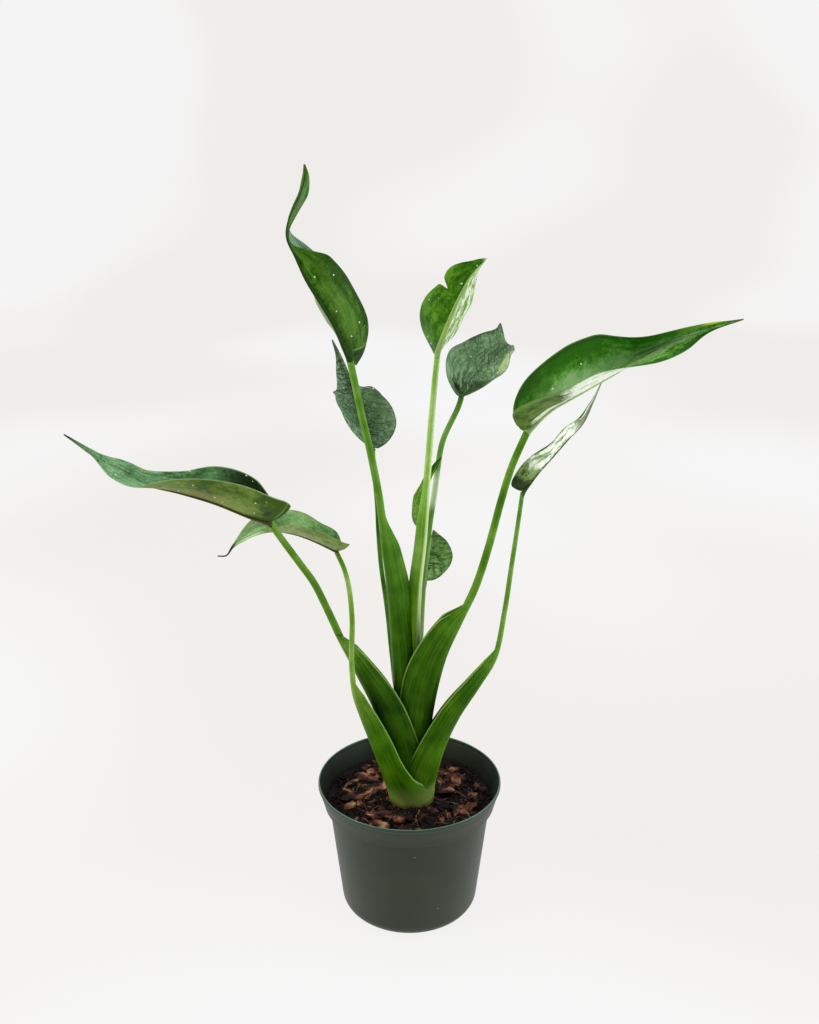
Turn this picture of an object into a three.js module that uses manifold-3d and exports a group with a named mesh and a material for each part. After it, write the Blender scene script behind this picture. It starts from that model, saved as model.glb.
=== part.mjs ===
// Potted tiny dancer alocasia: a nursery pot of potting mix with ten cup-folded leaves on tall stalks.
// Millimetres, Z up. The origin is the centre of the pot's underside, and the viewer stands at minus Y.
import * as THREE from "three";
import Module from "manifold-3d";

const wasm = await Module();
wasm.setup();
const { Manifold, Mesh: SolidMesh } = wasm;

// Driving dimensions of the pot: a six inch moulded nursery pot
const POT = {
  height: 118,
  rimRadius: 76,
  bandHeight: 19.5,
  bandFootRadius: 71.3,
  wallTopRadius: 67.1,
  baseRadius: 57.4,
  cornerRadius: 12,
  cornerTurn: 84,
  cornerSteps: 4,
  shoulder: 2,
  wall: 1.5,
  floor: 2.2,
  lip: 0.7,
  sides: 36,
  drainHoles: 6,
  drainRadius: 4,
  drainRing: 36,
  drainSides: 10,
};

// Driving dimensions of the potting mix: its level, its mound and the bark chips that lie on it
const SOIL = {
  level: 97.5,
  edgeRadius: 65,
  mound: 3.5,
  bank: { x: 3.5, y: -22, height: 3, spread: 17 },
  bump: 0.55,
  bumpSize: 5,
  rings: 4,
  chips: 27,
  chipLength: [9, 20],
  chipWidth: [4, 9],
  chipThickness: [2.5, 4],
  chipTilt: 12,
  chipRing: 56,
  chipGap: 2,
  seed: 7,
};

// Outline of a chip as shares of its length and width, and how far each corner strays from it
const CHIP_OUTLINE = [[-0.5, 0], [0.5, 0], [-0.3, -0.5], [0.25, -0.4], [-0.2, 0.5], [0.35, 0.4]];
const CHIP_STRAY = 0.12;

// The two crowns where the stalks leave the mix, with the plain round hole that each stands in
const FOOT_HEIGHT = 86;
const HOLE_HEIGHT = 40;
const HOLE_SIDES = 36;
const CROWNS = [
  { x: 3.5, y: -4, hole: 18.2 },
  { x: 2, y: 28, hole: 9.6 },
];

// Clearance between neighbours that touch on the real plant, and the least size kept where one is cut
const CLEARANCE = 0.35;
const SLIVER = 0.004;

// A blade: its thickness, its least reach, its rows, which crowd to its base, and its columns per half
const BLADE_THICKNESS = 0.8;
const LEAST_REACH = 0.4;
const BLADE_ROWS = 14;
const ROW_CROWDING = 1.3;
const BLADE_COLUMNS = [0.12, 0.4, 0.7, 1];

// A stalk: the thickness of its sheath's edges, the share of the sheath's height where the channel
// starts to close, and the points of half a ring and the rings of a wide stalk and of a slim one
const WING_THICKNESS = 0.9;
const CLOSING = 0.85;
const WIDE_FOOT = 8;
const WIDE_GRID = { halfPoints: 9, steps: 16 };
const SLIM_GRID = { halfPoints: 7, steps: 13 };

// The share of a half's lateral veins that its lobe at the base takes
const LOBE_SPAN = 0.2;

// How far each lateral vein leans to the tip, in degrees, from the lobes at the base to the tip
const VEIN_LEAN = [-60, -30, 0, 15, 22, 28, 32, 36, 40];

// The leaves. stalk and rib are paths in mm: foot to junction, and junction to tip. face is where the
// upper side looks at the base and twist the degrees it then turns about the rib. Each half of a blade
// has its reach from the rib in mm, the fold of its root and the curl to its edge in degrees, all
// listed from base to tip. A sheath covers the share "top" of its stalk. Its depth, gape, wrap in
// degrees and core thickness are listed from the foot up, close together near the foot.
const LEAVES = [
  {
    name: "leaf_j", color: 0x4f8a37,
    stalk: [[-9, -11, 86], [-11, -12, 99], [-16, -15, 120], [-26, -21, 155], [-36, -27, 188],
      [-43, -31, 215], [-45, -34, 245], [-44, -34, 278], [-46, -29, 302], [-50, -21, 316], [-56, -12, 326]],
    radius: [2.8, 1.8], inward: [0.85, 0.5, 0.15],
    sheath: { top: 0.6, depth: [17.3, 17.3, 20, 16, 12.5, 4], gape: [17.3, 17.3, 19, 14.5, 9.5, 3],
      wrap: [168, 168, 168, 168, 166, 150, 116, 94, 88, 86, 88, 90, 92, 92, 90],
      core: [1.1, 1.4, 3, 5, 5, 4] },
    rib: [[-56, -11, 327], [-69, -7, 332], [-85, -3, 337], [-100, 0, 339], [-115, 2, 338],
      [-127, 4, 332], [-138, 6, 324], [-144, 7, 316], [-151, 8, 315]],
    face: [0.1, -0.2, 1], twist: [-3, -16, -21, -7],
    left: { reach: [20, 24, 26, 27, 22, 16, 8, 1.6, 0.4],
      fold: [38, 48, 32, 18, 0], curl: [40, 30, 20, 10, 0] },
    right: { reach: [11, 17, 19, 21, 19, 14, 8, 1.6, 0.4],
      fold: [66, 62, 42, 20, 0], curl: [40, 30, 20, 10, 0] },
  },
  {
    name: "leaf_h", color: 0x4d8733,
    stalk: [[16, -7, 86], [16, -8, 98], [18, -9, 115], [26, -12, 152], [38, -15, 184], [54, -15, 212],
      [68, -13, 238], [75, -6, 273], [80, 2, 308], [84, 8, 336], [88, 14, 366]],
    radius: [2.8, 1.7], inward: [-0.95, 0.25, 0.25],
    sheath: { top: 0.61, depth: [15.6, 15.6, 16, 17, 13.5, 5], gape: [15.6, 15.6, 14, 12, 8, 3],
      wrap: [168, 165, 130, 104, 95, 90], core: [1.1, 1.3, 3, 5, 5, 4] },
    rib: [[89, 14, 367], [99, 18, 380], [112, 24, 393], [124, 30, 405], [135, 34, 416], [142, 36, 431],
      [149, 36, 450]],
    face: [-0.6, 0.1, 0.8], twist: [15, 28, 18, 6],
    left: { reach: [10, 15, 18, 15, 11, 9, 5, 2, 0.5],
      fold: [82, 80, 76, 60, 20], curl: [40, 30, 20, 10, 0] },
    right: { reach: [13, 19, 23, 20, 19, 17, 9, 4, 0.5],
      fold: [57, 53, 50, 37, 20], curl: [40, 30, 20, 10, 0] },
  },
  {
    name: "leaf_i", color: 0x4a8038,
    stalk: [[-6, -7, 86], [-7, -7, 98], [-8, -8, 115], [-14, -10, 149], [-25, -13, 188], [-41, -16, 227],
      [-54, -19, 257], [-64, -23, 284], [-73, -27, 307], [-84, -32, 327], [-94, -37, 345], [-103, -42, 362]],
    radius: [3.6, 2.5], inward: [0.95, 0.3, 0.2],
    sheath: { top: 0.64, depth: [13.9, 13.9, 16, 21, 19, 6], gape: [13.9, 13.9, 13, 12, 9, 4],
      wrap: [168, 165, 120, 100, 95, 90], core: [1.1, 1.3, 3.5, 6, 6, 5] },
    rib: [[-104, -43, 363], [-119, -47, 370], [-141, -53, 382], [-165, -59, 392], [-188, -64, 400],
      [-204, -66, 411], [-221, -66, 420], [-243, -64, 437]],
    face: [0.1, -0.1, 1], twist: [-10, 2, -23, -33],
    left: { reach: [24.5, 33, 38, 35, 31, 26, 13, 1, 0.5],
      fold: [48, 34, 28, -9, 0], curl: [40, 30, 20, 10, 0] },
    right: { reach: [18, 23, 28, 27, 18, 13, 9, 5, 0.5],
      fold: [78, 43, 19, 8, 0], curl: [40, 30, 20, 10, 0] },
  },
  {
    name: "leaf_g", color: 0x4b8532,
    stalk: [[12, -7, 86], [12, -6, 98], [12, -6, 115], [13, -5, 152], [17, -7, 191], [26, -11, 235],
      [39, -15, 270], [51, -18, 300], [60, -22, 334], [68, -28, 373], [75, -34, 403], [85, -40, 432]],
    radius: [3.8, 2.6], inward: [-0.95, 0.3, 0.2],
    sheath: { top: 0.59, depth: [12.3, 12.3, 14.5, 20, 25, 11], gape: [12.3, 12.3, 12, 12, 10, 5],
      wrap: [168, 160, 120, 100, 95, 90], core: [1.1, 1.3, 3.5, 6, 7, 5] },
    rib: [[86, -40, 433], [100, -44, 449], [119, -48, 462], [142, -52, 477], [164, -54, 491],
      [182, -54, 501], [203, -52, 508], [231, -50, 516]],
    face: [-0.1, -0.2, 1], twist: [21, 25, 64, 57],
    left: { reach: [4, 14, 25, 31, 34, 36, 36, 34, 31, 25, 19, 14, 10, 8, 6, 3, 0.5],
      fold: [-2, 12, 29, 24, 0], curl: [30, 30, 20, 10, 0] },
    right: { reach: [12, 27, 31, 33, 33, 25, 14, 3, 0.5],
      fold: [68, 43, 56, 25, 0], curl: [40, 30, 20, 10, 0] },
  },
  {
    name: "leaf_a", color: 0x3f7a26,
    stalk: [[-1, -9, 86], [-1, -9, 98], [-6, -4, 184], [-10, -7, 240], [-14, -11, 294], [-19, -17, 339],
      [-23, -23, 377], [-29, -31, 415], [-35, -39, 447], [-41.5, -51, 487]],
    radius: [3.8, 2.5], inward: [0.6, 0.8, 0],
    sheath: { top: 0.7, depth: [10.6, 10.6, 11, 13, 17, 8], gape: [10.6, 10.6, 11, 11, 9, 5],
      wrap: [168, 160, 120, 100, 95, 90], core: [1.1, 1.3, 3.5, 6, 6, 5] },
    rib: [[-41.8, -51, 488], [-45, -53, 496], [-51, -58, 513], [-60, -62, 530], [-69, -65, 546],
      [-76, -66, 562], [-81, -66, 573], [-81, -64, 582], [-77, -62, 593], [-72, -62, 603],
      [-69, -62, 613], [-69, -60, 621]],
    face: [0.5, 0.85, 0.1], twist: [26, -6, 5, 38],
    left: { reach: [5.5, 20, 26, 27.5, 27.5, 27.5, 27, 26, 24.5, 21.5, 12, 2, 1.5, 5, 8, 5, 0.5],
      fold: [38, 44, 36, 43, 20], curl: [40, 40, 40, 20, 10], lobe: 6 },
    right: { reach: [14, 22, 26, 29, 30, 31, 31, 30, 28, 26, 21, 15, 10, 3, 2, 3, 0.5],
      fold: [75, 0, 45, 44, 30], curl: [50, 150, 90, 30, 10], lobe: 3 },
  },
  {
    name: "leaf_b", color: 0x6aa834,
    stalk: [[5, -8, 86], [5, -8, 98], [3.5, -1, 183], [3.5, -2, 238], [5.5, -4, 291], [9.3, -7, 330],
      [12, -11, 369], [14.3, -15, 403], [17, -21, 447], [20, -26, 484]],
    radius: [4.6, 2.1], inward: [-0.3, 0.95, 0],
    sheath: { top: 0.76, depth: [8.9, 8.9, 9, 10, 8, 5], gape: [8.9, 8.9, 8, 7, 5.6, 4],
      wrap: [165, 150, 105, 95, 90, 90], core: [1.1, 1.3, 3.5, 5, 6, 5] },
    rib: [[20, -26, 486], [25, -28, 502], [31, -31, 519], [37, -34, 533], [43, -36, 544], [53, -38, 556]],
    face: [-0.4, 0.85, 0.1], twist: [-36, -19, -7, 6],
    left: { reach: [18, 24, 27, 26, 24, 19, 12, 5, 0.5],
      fold: [78, 44, 25, 21, 20], curl: [20, 30, 30, 20, 10] },
    right: { reach: [17, 21, 25, 28, 29, 29, 28, 26, 23, 20, 18, 18.5, 16.5, 12.5, 8, 4.5, 0.5],
      fold: [57, 30, 23, 20, 20], curl: [20, 30, 30, 20, 10],
      nick: { at: 0.615, depth: 7, width: 0.018 } },
  },
  {
    name: "leaf_e", color: 0x4d8a2e,
    stalk: [[4, -5, 86], [4, -5, 98], [5, 3, 181], [4, 4, 235], [4, 4, 279], [5, 2, 312], [8, -2.3, 342]],
    radius: [2.4, 1.8], inward: [-0.3, 0.9, 0],
    sheath: { top: 0.5, depth: [4.8, 4.8, 5, 5, 4, 3], gape: [4.8, 4.8, 4, 4, 4, 3],
      wrap: [150, 140, 100, 90, 90, 90], core: [1.1, 1.3, 3, 3, 3, 3] },
    rib: [[8, -2, 343], [10, 0, 356], [12.4, 2, 369], [16.8, 3, 383], [24, 4, 398]],
    face: [-0.4, 0.85, 0.1], twist: [-31, -24, -20, -10],
    left: { reach: [9, 9, 8, 5, 3, 1.6, 1.6, 2, 0.5],
      fold: [56, 57, 41, 30, 20], curl: [20, 30, 30, 20, 10] },
    right: { reach: [11, 17, 18, 15, 12, 8, 5, 3.5, 0.5],
      fold: [62, 45, 36, 27, 20], curl: [20, 30, 30, 20, 10] },
  },
  {
    name: "leaf_d", color: 0x44783c,
    stalk: [[-1, 34, 86], [-1, 34, 98], [-8, 31, 165], [-14, 31, 212], [-18, 32, 255], [-23, 33, 296],
      [-25, 35, 324], [-26, 38, 347], [-28, 41, 371], [-29, 44, 392]],
    radius: [2.4, 1.6], inward: [0.5, -0.85, 0],
    sheath: { top: 0.42, depth: [8.9, 8.9, 9, 8, 7, 4], gape: [8.9, 8.9, 8, 6, 5, 3],
      wrap: [160, 150, 110, 95, 90, 90], core: [1.1, 1.3, 3, 4, 4, 3] },
    rib: [[-29, 44, 393], [-33, 52, 405], [-39, 62, 419], [-46, 70, 435], [-54, 72, 454], [-61, 70, 474]],
    face: [0, -0.7, 0.7], twist: [23, 2, -16, -17],
    left: { reach: [11, 26, 30, 26, 23, 16, 9, 3, 0.5],
      fold: [45, 30, 29, 23, 10], curl: [20, 20, 20, 20, 10],
      nick: { at: 0.56, depth: -3, width: 0.02 } },
    right: { reach: [6, 17, 25, 30, 31, 30.5, 29, 28, 24, 14, 8.5, 6, 5, 4, 3, 2, 0.5],
      fold: [57, 47, 46, 32, 10], curl: [20, 20, 20, 20, 10] },
  },
  {
    name: "leaf_c", color: 0x4a7d3a,
    stalk: [[3, 32, 86], [3, 32, 98], [5, 32, 164], [7, 33, 220], [9.3, 34, 273], [13, 36, 309],
      [19.6, 41, 353], [23, 46, 379], [27, 51, 398], [38, 57, 421], [41, 60, 429]],
    radius: [2.8, 2.2], inward: [-0.3, -0.9, 0],
    sheath: { top: 0.72, depth: [7.2, 7.2, 7, 7, 6, 4], gape: [7.2, 7.2, 6, 5, 5, 4],
      wrap: [160, 150, 110, 95, 90, 90], core: [1.1, 1.3, 3, 4, 4, 4] },
    rib: [[41, 60, 430], [48, 72, 438], [60, 90, 445], [71, 108, 451], [80, 124, 455], [86, 137, 452],
      [89.3, 146, 448]],
    face: [-0.1, -0.5, 0.8], twist: [22, 13, 26, 33],
    left: { reach: [12, 17, 22, 27, 30, 31.5, 32, 31, 30, 29, 28.5, 28, 27, 26, 24.8, 23.3, 22, 21.5,
        23, 8.5, 4, 3, 3, 2, 0.5],
      fold: [41, 23, 27, 26, 10], curl: [20, 20, 20, 20, 10] },
    right: { reach: [10, 25, 28, 26, 23.5, 19, 11.5, 3, 0.5],
      fold: [50, 18, 25, 36, 20], curl: [40, 42, 48, 32, 10] },
  },
  {
    name: "leaf_f", color: 0x42753c,
    stalk: [[2, 30, 86], [2, 30, 98], [3, 36, 162], [5, 42, 206], [8, 48, 241], [13, 54, 272]],
    radius: [2.2, 1.6], inward: [-0.1, -0.9, 0],
    sheath: { top: 0.5, depth: [4.9, 4.9, 5, 5, 4, 3], gape: [4.9, 4.9, 4, 4, 4, 3],
      wrap: [150, 140, 100, 90, 90, 90], core: [1.1, 1.3, 3, 3, 3, 3] },
    rib: [[13, 54, 274], [15, 60, 282], [17, 66, 291], [20, 70, 301], [20, 72, 312]],
    face: [0, -0.8, 0.6], twist: [-4, 5, 10, 12],
    left: { reach: [8, 10, 12, 13, 12, 10, 7, 3, 0.5],
      fold: [21, 21, 19, 16, 10], curl: [20, 20, 20, 20, 10] },
    right: { reach: [15, 21, 23, 22, 21, 18, 13, 6, 0.5],
      fold: [69, 25, 8, 8, 10], curl: [10, 20, 20, 20, 10] },
  },
];

// Value of a list of numbers at a share of its length, on a smooth curve through them
function along(values, share) {
  const place = share * (values.length - 1);
  const first = Math.min(Math.floor(place), values.length - 2);
  const t = place - first;
  const ends = [2 * values[0] - values[1], ...values, 2 * values.at(-1) - values.at(-2)];
  const [before, from, to, after] = ends.slice(first, first + 4);
  const leave = (to - before) / 2;
  const arrive = (after - from) / 2;
  const cubic = 2 * (from - to) + leave + arrive;
  const square = 3 * (to - from) - 2 * leave - arrive;
  return cubic * t ** 3 + square * t ** 2 + leave * t + from;
}

// Smooth path through a list of points
function pathThrough(points) {
  const corners = points.map((p) => new THREE.Vector3(...p));
  return new THREE.CatmullRomCurve3(corners, false, "catmullrom", 0.5);
}

// Point and axes on a path: forward along it, up as near as can be to the given way, and side
function frameOn(path, share, upward, twist) {
  const forward = path.getTangentAt(share);
  const up = new THREE.Vector3(...upward).projectOnPlane(forward).normalize();
  up.applyAxisAngle(forward, THREE.MathUtils.degToRad(twist));
  return { at: path.getPointAt(share), forward, up, side: forward.clone().cross(up) };
}

// Point that lies the given distances from a frame's origin along its forward, up and side
function pointFrom(frame, forward, up, side) {
  return frame.at.clone()
    .addScaledVector(frame.forward, forward)
    .addScaledVector(frame.up, up)
    .addScaledVector(frame.side, side);
}

// Solid from vertices as Vector3 and triangles as index triples
function solidOf(points, triangles) {
  return new Manifold(new SolidMesh({
    numProp: 3,
    vertProperties: new Float32Array(points.flatMap((p) => [p.x, p.y, p.z])),
    triVerts: new Uint32Array(triangles.flat()),
  }));
}

// Normal at each vertex of a triangle list
function vertexNormals(points, triangles) {
  const normals = points.map(() => new THREE.Vector3());
  const normal = new THREE.Vector3();
  const edge = new THREE.Vector3();
  for (const [a, b, c] of triangles) {
    normal.subVectors(points[b], points[a]).cross(edge.subVectors(points[c], points[a]));
    for (const i of [a, b, c]) normals[i].add(normal);
  }
  return normals.map((n) => n.normalize());
}

// The same solid with its whole skin moved out by a clearance
function swollen(solid, clearance) {
  const mesh = solid.getMesh();
  const points = [];
  for (let i = 0; i < mesh.numVert; i++) {
    points.push(new THREE.Vector3().fromArray(mesh.vertProperties, i * mesh.numProp));
  }
  const triangles = [];
  for (let i = 0; i < mesh.triVerts.length; i += 3) {
    triangles.push([...mesh.triVerts.subarray(i, i + 3)]);
  }
  const normals = vertexNormals(points, triangles);
  return solidOf(points.map((p, i) => p.clone().addScaledVector(normals[i], clearance)), triangles);
}

// The largest body of a cut solid, without crumbs and without slivers under the given size
function largestBody(solid) {
  const bodies = solid.setTolerance(SLIVER).decompose();
  return bodies.sort((a, b) => b.volume() - a.volume())[0];
}

// Solid from a grid of points and its underside, with the same diagonals on both and a rim round them
function sheetSolid(top, bottom) {
  const rows = top.length;
  const columns = top[0].length;
  const points = [...top.flat(), ...bottom.flat()];
  const under = rows * columns;
  const index = (row, column) => row * columns + column;
  const triangles = [];
  for (let r = 0; r < rows - 1; r++) {
    for (let c = 0; c < columns - 1; c++) {
      const [a, b, d, e] = [index(r, c), index(r, c + 1), index(r + 1, c), index(r + 1, c + 1)];
      triangles.push([a, b, e], [a, e, d]);
      triangles.push([under + a, under + e, under + b], [under + a, under + d, under + e]);
    }
  }
  const rim = [];
  for (let c = 0; c < columns - 1; c++) rim.push(index(0, c));
  for (let r = 0; r < rows - 1; r++) rim.push(index(r, columns - 1));
  for (let c = columns - 1; c > 0; c--) rim.push(index(rows - 1, c));
  for (let r = rows - 1; r > 0; r--) rim.push(index(r, 0));
  rim.forEach((a, i) => {
    const b = rim[(i + 1) % rim.length];
    triangles.push([b, a, under + a], [b, under + a, under + b]);
  });
  return solidOf(points, triangles);
}

// How much a split or a bite takes from the reach of a half at a lateral vein
function nickAt({ nick }, vein) {
  return nick ? nick.depth * Math.exp(-(((vein - nick.at) / nick.width) ** 2)) : 0;
}

// How far a half's base hangs back past the stalk's end as a lobe
function lobeAt({ lobe = 0 }, vein) {
  return lobe * Math.max(0, 1 - vein / LOBE_SPAN) ** 2;
}

// Middle surface of one blade as rows of points, from its left edge over the rib to its right edge
function bladeSurface(leaf) {
  const rib = pathThrough(leaf.rib);
  const rows = [];
  for (let row = 0; row <= BLADE_ROWS; row++) {
    const vein = row / BLADE_ROWS;
    const share = vein ** ROW_CROWDING;
    const frame = frameOn(rib, share, leaf.face, along(leaf.twist, share));
    const lean = THREE.MathUtils.degToRad(along(VEIN_LEAN, vein));
    const halfRow = (half, way) => {
      const reach = Math.max(LEAST_REACH, along(half.reach, vein) - nickAt(half, vein));
      const fold = THREE.MathUtils.degToRad(along(half.fold, share));
      const curl = THREE.MathUtils.degToRad(Math.max(1, along(half.curl, share)));
      return BLADE_COLUMNS.map((q) => {
        const across = (reach / curl) * (Math.sin(fold + curl * q) - Math.sin(fold));
        const rise = (reach / curl) * (Math.cos(fold) - Math.cos(fold + curl * q));
        const run = across * Math.sin(lean) - lobeAt(half, vein) * q * q;
        return pointFrom(frame, run, rise, way * across * Math.cos(lean));
      });
    };
    rows.push([...halfRow(leaf.left, -1).reverse(), frame.at.clone(), ...halfRow(leaf.right, 1)]);
  }
  return rows;
}

// A blade as one solid: the folded sheet with the midrib standing out below it
function bladeSolid(leaf) {
  const rows = bladeSurface(leaf);
  const columns = rows[0].length;
  const middle = (columns - 1) / 2;
  const triangles = [];
  for (let r = 0; r < rows.length - 1; r++) {
    for (let c = 0; c < columns - 1; c++) {
      const a = r * columns + c;
      triangles.push([a, a + 1, a + columns + 1], [a, a + columns + 1, a + columns]);
    }
  }
  const normals = vertexNormals(rows.flat(), triangles);
  const offset = (distance) => rows.map((row, r) => row.map((p, c) => {
    const ridge = c === middle && distance < 0 ? leaf.radius[1] * (1 - r / BLADE_ROWS) : 0;
    return p.clone().addScaledVector(normals[r * columns + c], distance - ridge);
  }));
  return sheetSolid(offset(BLADE_THICKNESS / 2), offset(-BLADE_THICKNESS / 2));
}

// Ring of points round a stalk: its outside from wing to wing, then its inside back
function stalkRing(leaf, path, share, halfPoints) {
  const { sheath } = leaf;
  const height = Math.min(1, share / sheath.top);
  const key = Math.sqrt(height);
  const [depth, gape, wrap, core] = ["depth", "gape", "wrap", "core"].map((k) => along(sheath[k], key));
  const radius = THREE.MathUtils.lerp(leaf.radius[0], leaf.radius[1], share);
  const open = 1 - THREE.MathUtils.smoothstep(height, CLOSING, 1);
  const frame = frameOn(path, share, leaf.inward, 0);
  const round = (q, inner) => {
    const squeeze = inner ? (halfPoints - 1) / (halfPoints + 1) : 1;
    const angle = (Math.PI / 2) * q * squeeze;
    return [radius * Math.cos(angle) * (inner ? 1 : -1), radius * Math.sin(angle)];
  };
  const channel = (q, inner) => {
    const angle = THREE.MathUtils.degToRad(wrap) * q;
    const thickening = (core - WING_THICKNESS) * Math.cos((Math.PI / 2) * q) ** 1.5;
    const wall = inner ? WING_THICKNESS + thickening : 0;
    return [depth - radius - (depth - wall) * Math.cos(angle), (gape - wall) * Math.sin(angle)];
  };
  const ring = [];
  for (const inner of [false, true]) {
    for (let i = 0; i < halfPoints; i++) {
      const across = (2 * i) / (halfPoints - 1) - 1;
      const q = inner ? -across : across;
      const closed = round(q, inner);
      const [up, side] = channel(q, inner).map((v, axis) => THREE.MathUtils.lerp(closed[axis], v, open));
      ring.push(pointFrom(frame, 0, up, side));
    }
  }
  return ring;
}

// A stalk as one solid: a loft through its rings, closed by strips across both ends
function stalkSolid(leaf) {
  const { halfPoints, steps } = leaf.sheath.depth[0] > WIDE_FOOT ? WIDE_GRID : SLIM_GRID;
  const path = pathThrough(leaf.stalk);
  const rings = [];
  for (let s = 0; s <= steps; s++) rings.push(stalkRing(leaf, path, s / steps, halfPoints));
  const count = 2 * halfPoints;
  const triangles = [];
  for (let s = 0; s < steps; s++) {
    for (let i = 0; i < count; i++) {
      const [a, b] = [s * count + i, s * count + ((i + 1) % count)];
      if (i < halfPoints) triangles.push([a, b + count, b], [a, a + count, b + count]);
      else triangles.push([a, a + count, b], [b, a + count, b + count]);
    }
  }
  const last = steps * count;
  for (let i = 0; i < halfPoints - 1; i++) {
    const [a, b, c, d] = [i, i + 1, count - 2 - i, count - 1 - i];
    triangles.push([a, b, c], [a, c, d]);
    triangles.push([last + a, last + c, last + b], [last + a, last + d, last + c]);
  }
  return solidOf(rings.flat(), triangles);
}

// The outer outline of the pot, set in by a wall, from the axis up to the lip
function potOutline(inset) {
  const foot = inset ? POT.floor : 0;
  const corner = POT.cornerRadius - inset;
  const points = [new THREE.Vector2(0, foot)];
  for (let i = 0; i <= POT.cornerSteps; i++) {
    const angle = (i / POT.cornerSteps) * THREE.MathUtils.degToRad(POT.cornerTurn);
    const radius = POT.baseRadius - POT.cornerRadius + corner * Math.sin(angle);
    points.push(new THREE.Vector2(radius, foot + corner * (1 - Math.cos(angle))));
  }
  const bandFoot = POT.height - POT.bandHeight;
  points.push(new THREE.Vector2(POT.wallTopRadius - inset, bandFoot - POT.shoulder));
  points.push(new THREE.Vector2(POT.bandFootRadius - inset, bandFoot));
  points.push(new THREE.Vector2(POT.rimRadius - inset, POT.height - POT.lip));
  return points;
}

// The pot: outer and inner outline turned about the axis, with drain holes through the floor
function potSolid() {
  const lip = new THREE.Vector2(POT.rimRadius - POT.wall / 2, POT.height);
  const profile = [...potOutline(0), lip, ...potOutline(POT.wall).reverse()];
  const hole = Manifold.cylinder(3 * POT.floor, POT.drainRadius, POT.drainRadius, POT.drainSides)
    .translate([POT.drainRing, 0, -POT.floor]);
  const holes = [];
  for (let i = 0; i < POT.drainHoles; i++) {
    holes.push(hole.rotate([0, 0, (360 * i) / POT.drainHoles]));
  }
  return turned(profile, POT.sides).subtract(Manifold.union(holes));
}

// Solid of revolution about Z from a profile of radius and height that starts and ends on the axis
function turned(profile, sides) {
  const points = [];
  const rings = profile.map(({ x, y }) => {
    const count = x > 0 ? sides : 1;
    for (let i = 0; i < count; i++) {
      const angle = (i / sides) * 2 * Math.PI;
      points.push(new THREE.Vector3(x * Math.cos(angle), x * Math.sin(angle), y));
    }
    return { start: points.length - count, count };
  });
  const triangles = [];
  for (let r = 0; r < rings.length - 1; r++) {
    const [low, high] = [rings[r], rings[r + 1]];
    for (let i = 0; i < sides; i++) {
      const [a, b] = [i, i + 1].map((k) => low.start + (k % low.count));
      const [c, d] = [i, i + 1].map((k) => high.start + (k % high.count));
      if (low.count > 1) triangles.push([a, b, d]);
      if (high.count > 1) triangles.push([a, d, c]);
    }
  }
  return solidOf(points, triangles);
}

// Height of the potting mix at a place: a low mound with a bank before the front crown and small bumps
function soilHeight(x, y) {
  const { bank, bumpSize } = SOIL;
  const mound = SOIL.mound * (1 - Math.hypot(x, y) ** 2 / SOIL.edgeRadius ** 2);
  const rise = bank.height * Math.exp(-((x - bank.x) ** 2 + (y - bank.y) ** 2) / bank.spread ** 2);
  const [u, v] = [x / bumpSize, y / bumpSize];
  const bumps = Math.sin(u) * Math.cos(1.2 * v) + Math.sin(0.65 * (u + v)) + Math.cos(0.55 * u - 1.1 * v);
  return SOIL.level + mound + rise + SOIL.bump * bumps;
}

// The mix alone: a plug that fills the pot to its level under a bumpy surface
function soilPlug() {
  const corner = potOutline(POT.wall + CLEARANCE).slice(0, POT.cornerSteps + 2);
  const profile = corner.map((p) => new THREE.Vector2(p.x, Math.max(p.y, POT.floor + CLEARANCE)));
  for (let ring = SOIL.rings; ring >= 0; ring--) {
    profile.push(new THREE.Vector2((SOIL.edgeRadius * ring) / SOIL.rings, SOIL.level));
  }
  return turned(profile, POT.sides).warp((p) => {
    if (p[2] === SOIL.level) p[2] = soilHeight(p[0], p[1]);
  });
}

// Repeatable random numbers from 0 to 1
function seeded(seed) {
  let state = seed;
  return () => {
    state = (state * 1664525 + 1013904223) % 4294967296;
    return state / 4294967296;
  };
}

// Bark chips: six-cornered flat shards strewn on the mix, clear of both crowns
function barkChips() {
  const random = seeded(SOIL.seed);
  const between = ([low, high]) => low + (high - low) * random();
  const stray = () => between([-CHIP_STRAY, CHIP_STRAY]);
  const chips = [];
  while (chips.length < SOIL.chips) {
    const distance = SOIL.chipRing * Math.sqrt(random());
    const angle = 2 * Math.PI * random();
    const [x, y] = [distance * Math.cos(angle), distance * Math.sin(angle)];
    const [long, wide, thick] = [SOIL.chipLength, SOIL.chipWidth, SOIL.chipThickness].map(between);
    const onCrown = CROWNS.some((crown) => (
      Math.hypot(x - crown.x, y - crown.y) < crown.hole + SOIL.chipGap + long / 2
    ));
    if (onCrown) continue;
    const corners = [-thick / 2, thick / 2].flatMap((z) => (
      CHIP_OUTLINE.map(([a, b]) => [long * (a + stray()), wide * (b + stray()), z])
    ));
    const tilt = [-SOIL.chipTilt, SOIL.chipTilt];
    const turn = [between(tilt), between(tilt), 360 * random()];
    chips.push(Manifold.hull(corners).rotate(turn).translate([x, y, soilHeight(x, y)]));
  }
  return chips;
}

// A named mesh from a solid, with its colour and how rough the surface is
function meshOf(name, solid, color, roughness) {
  const data = solid.getMesh();
  const positions = new Float32Array(data.numVert * 3);
  for (let i = 0; i < data.numVert; i++) {
    positions.set(data.vertProperties.subarray(i * data.numProp, i * data.numProp + 3), 3 * i);
  }
  const geometry = new THREE.BufferGeometry();
  geometry.setAttribute("position", new THREE.BufferAttribute(positions, 3));
  geometry.setIndex(new THREE.BufferAttribute(new Uint32Array(data.triVerts), 1));
  geometry.computeVertexNormals();
  const mesh = new THREE.Mesh(geometry, new THREE.MeshStandardMaterial({ color, roughness, metalness: 0 }));
  mesh.name = name;
  return mesh;
}

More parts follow.
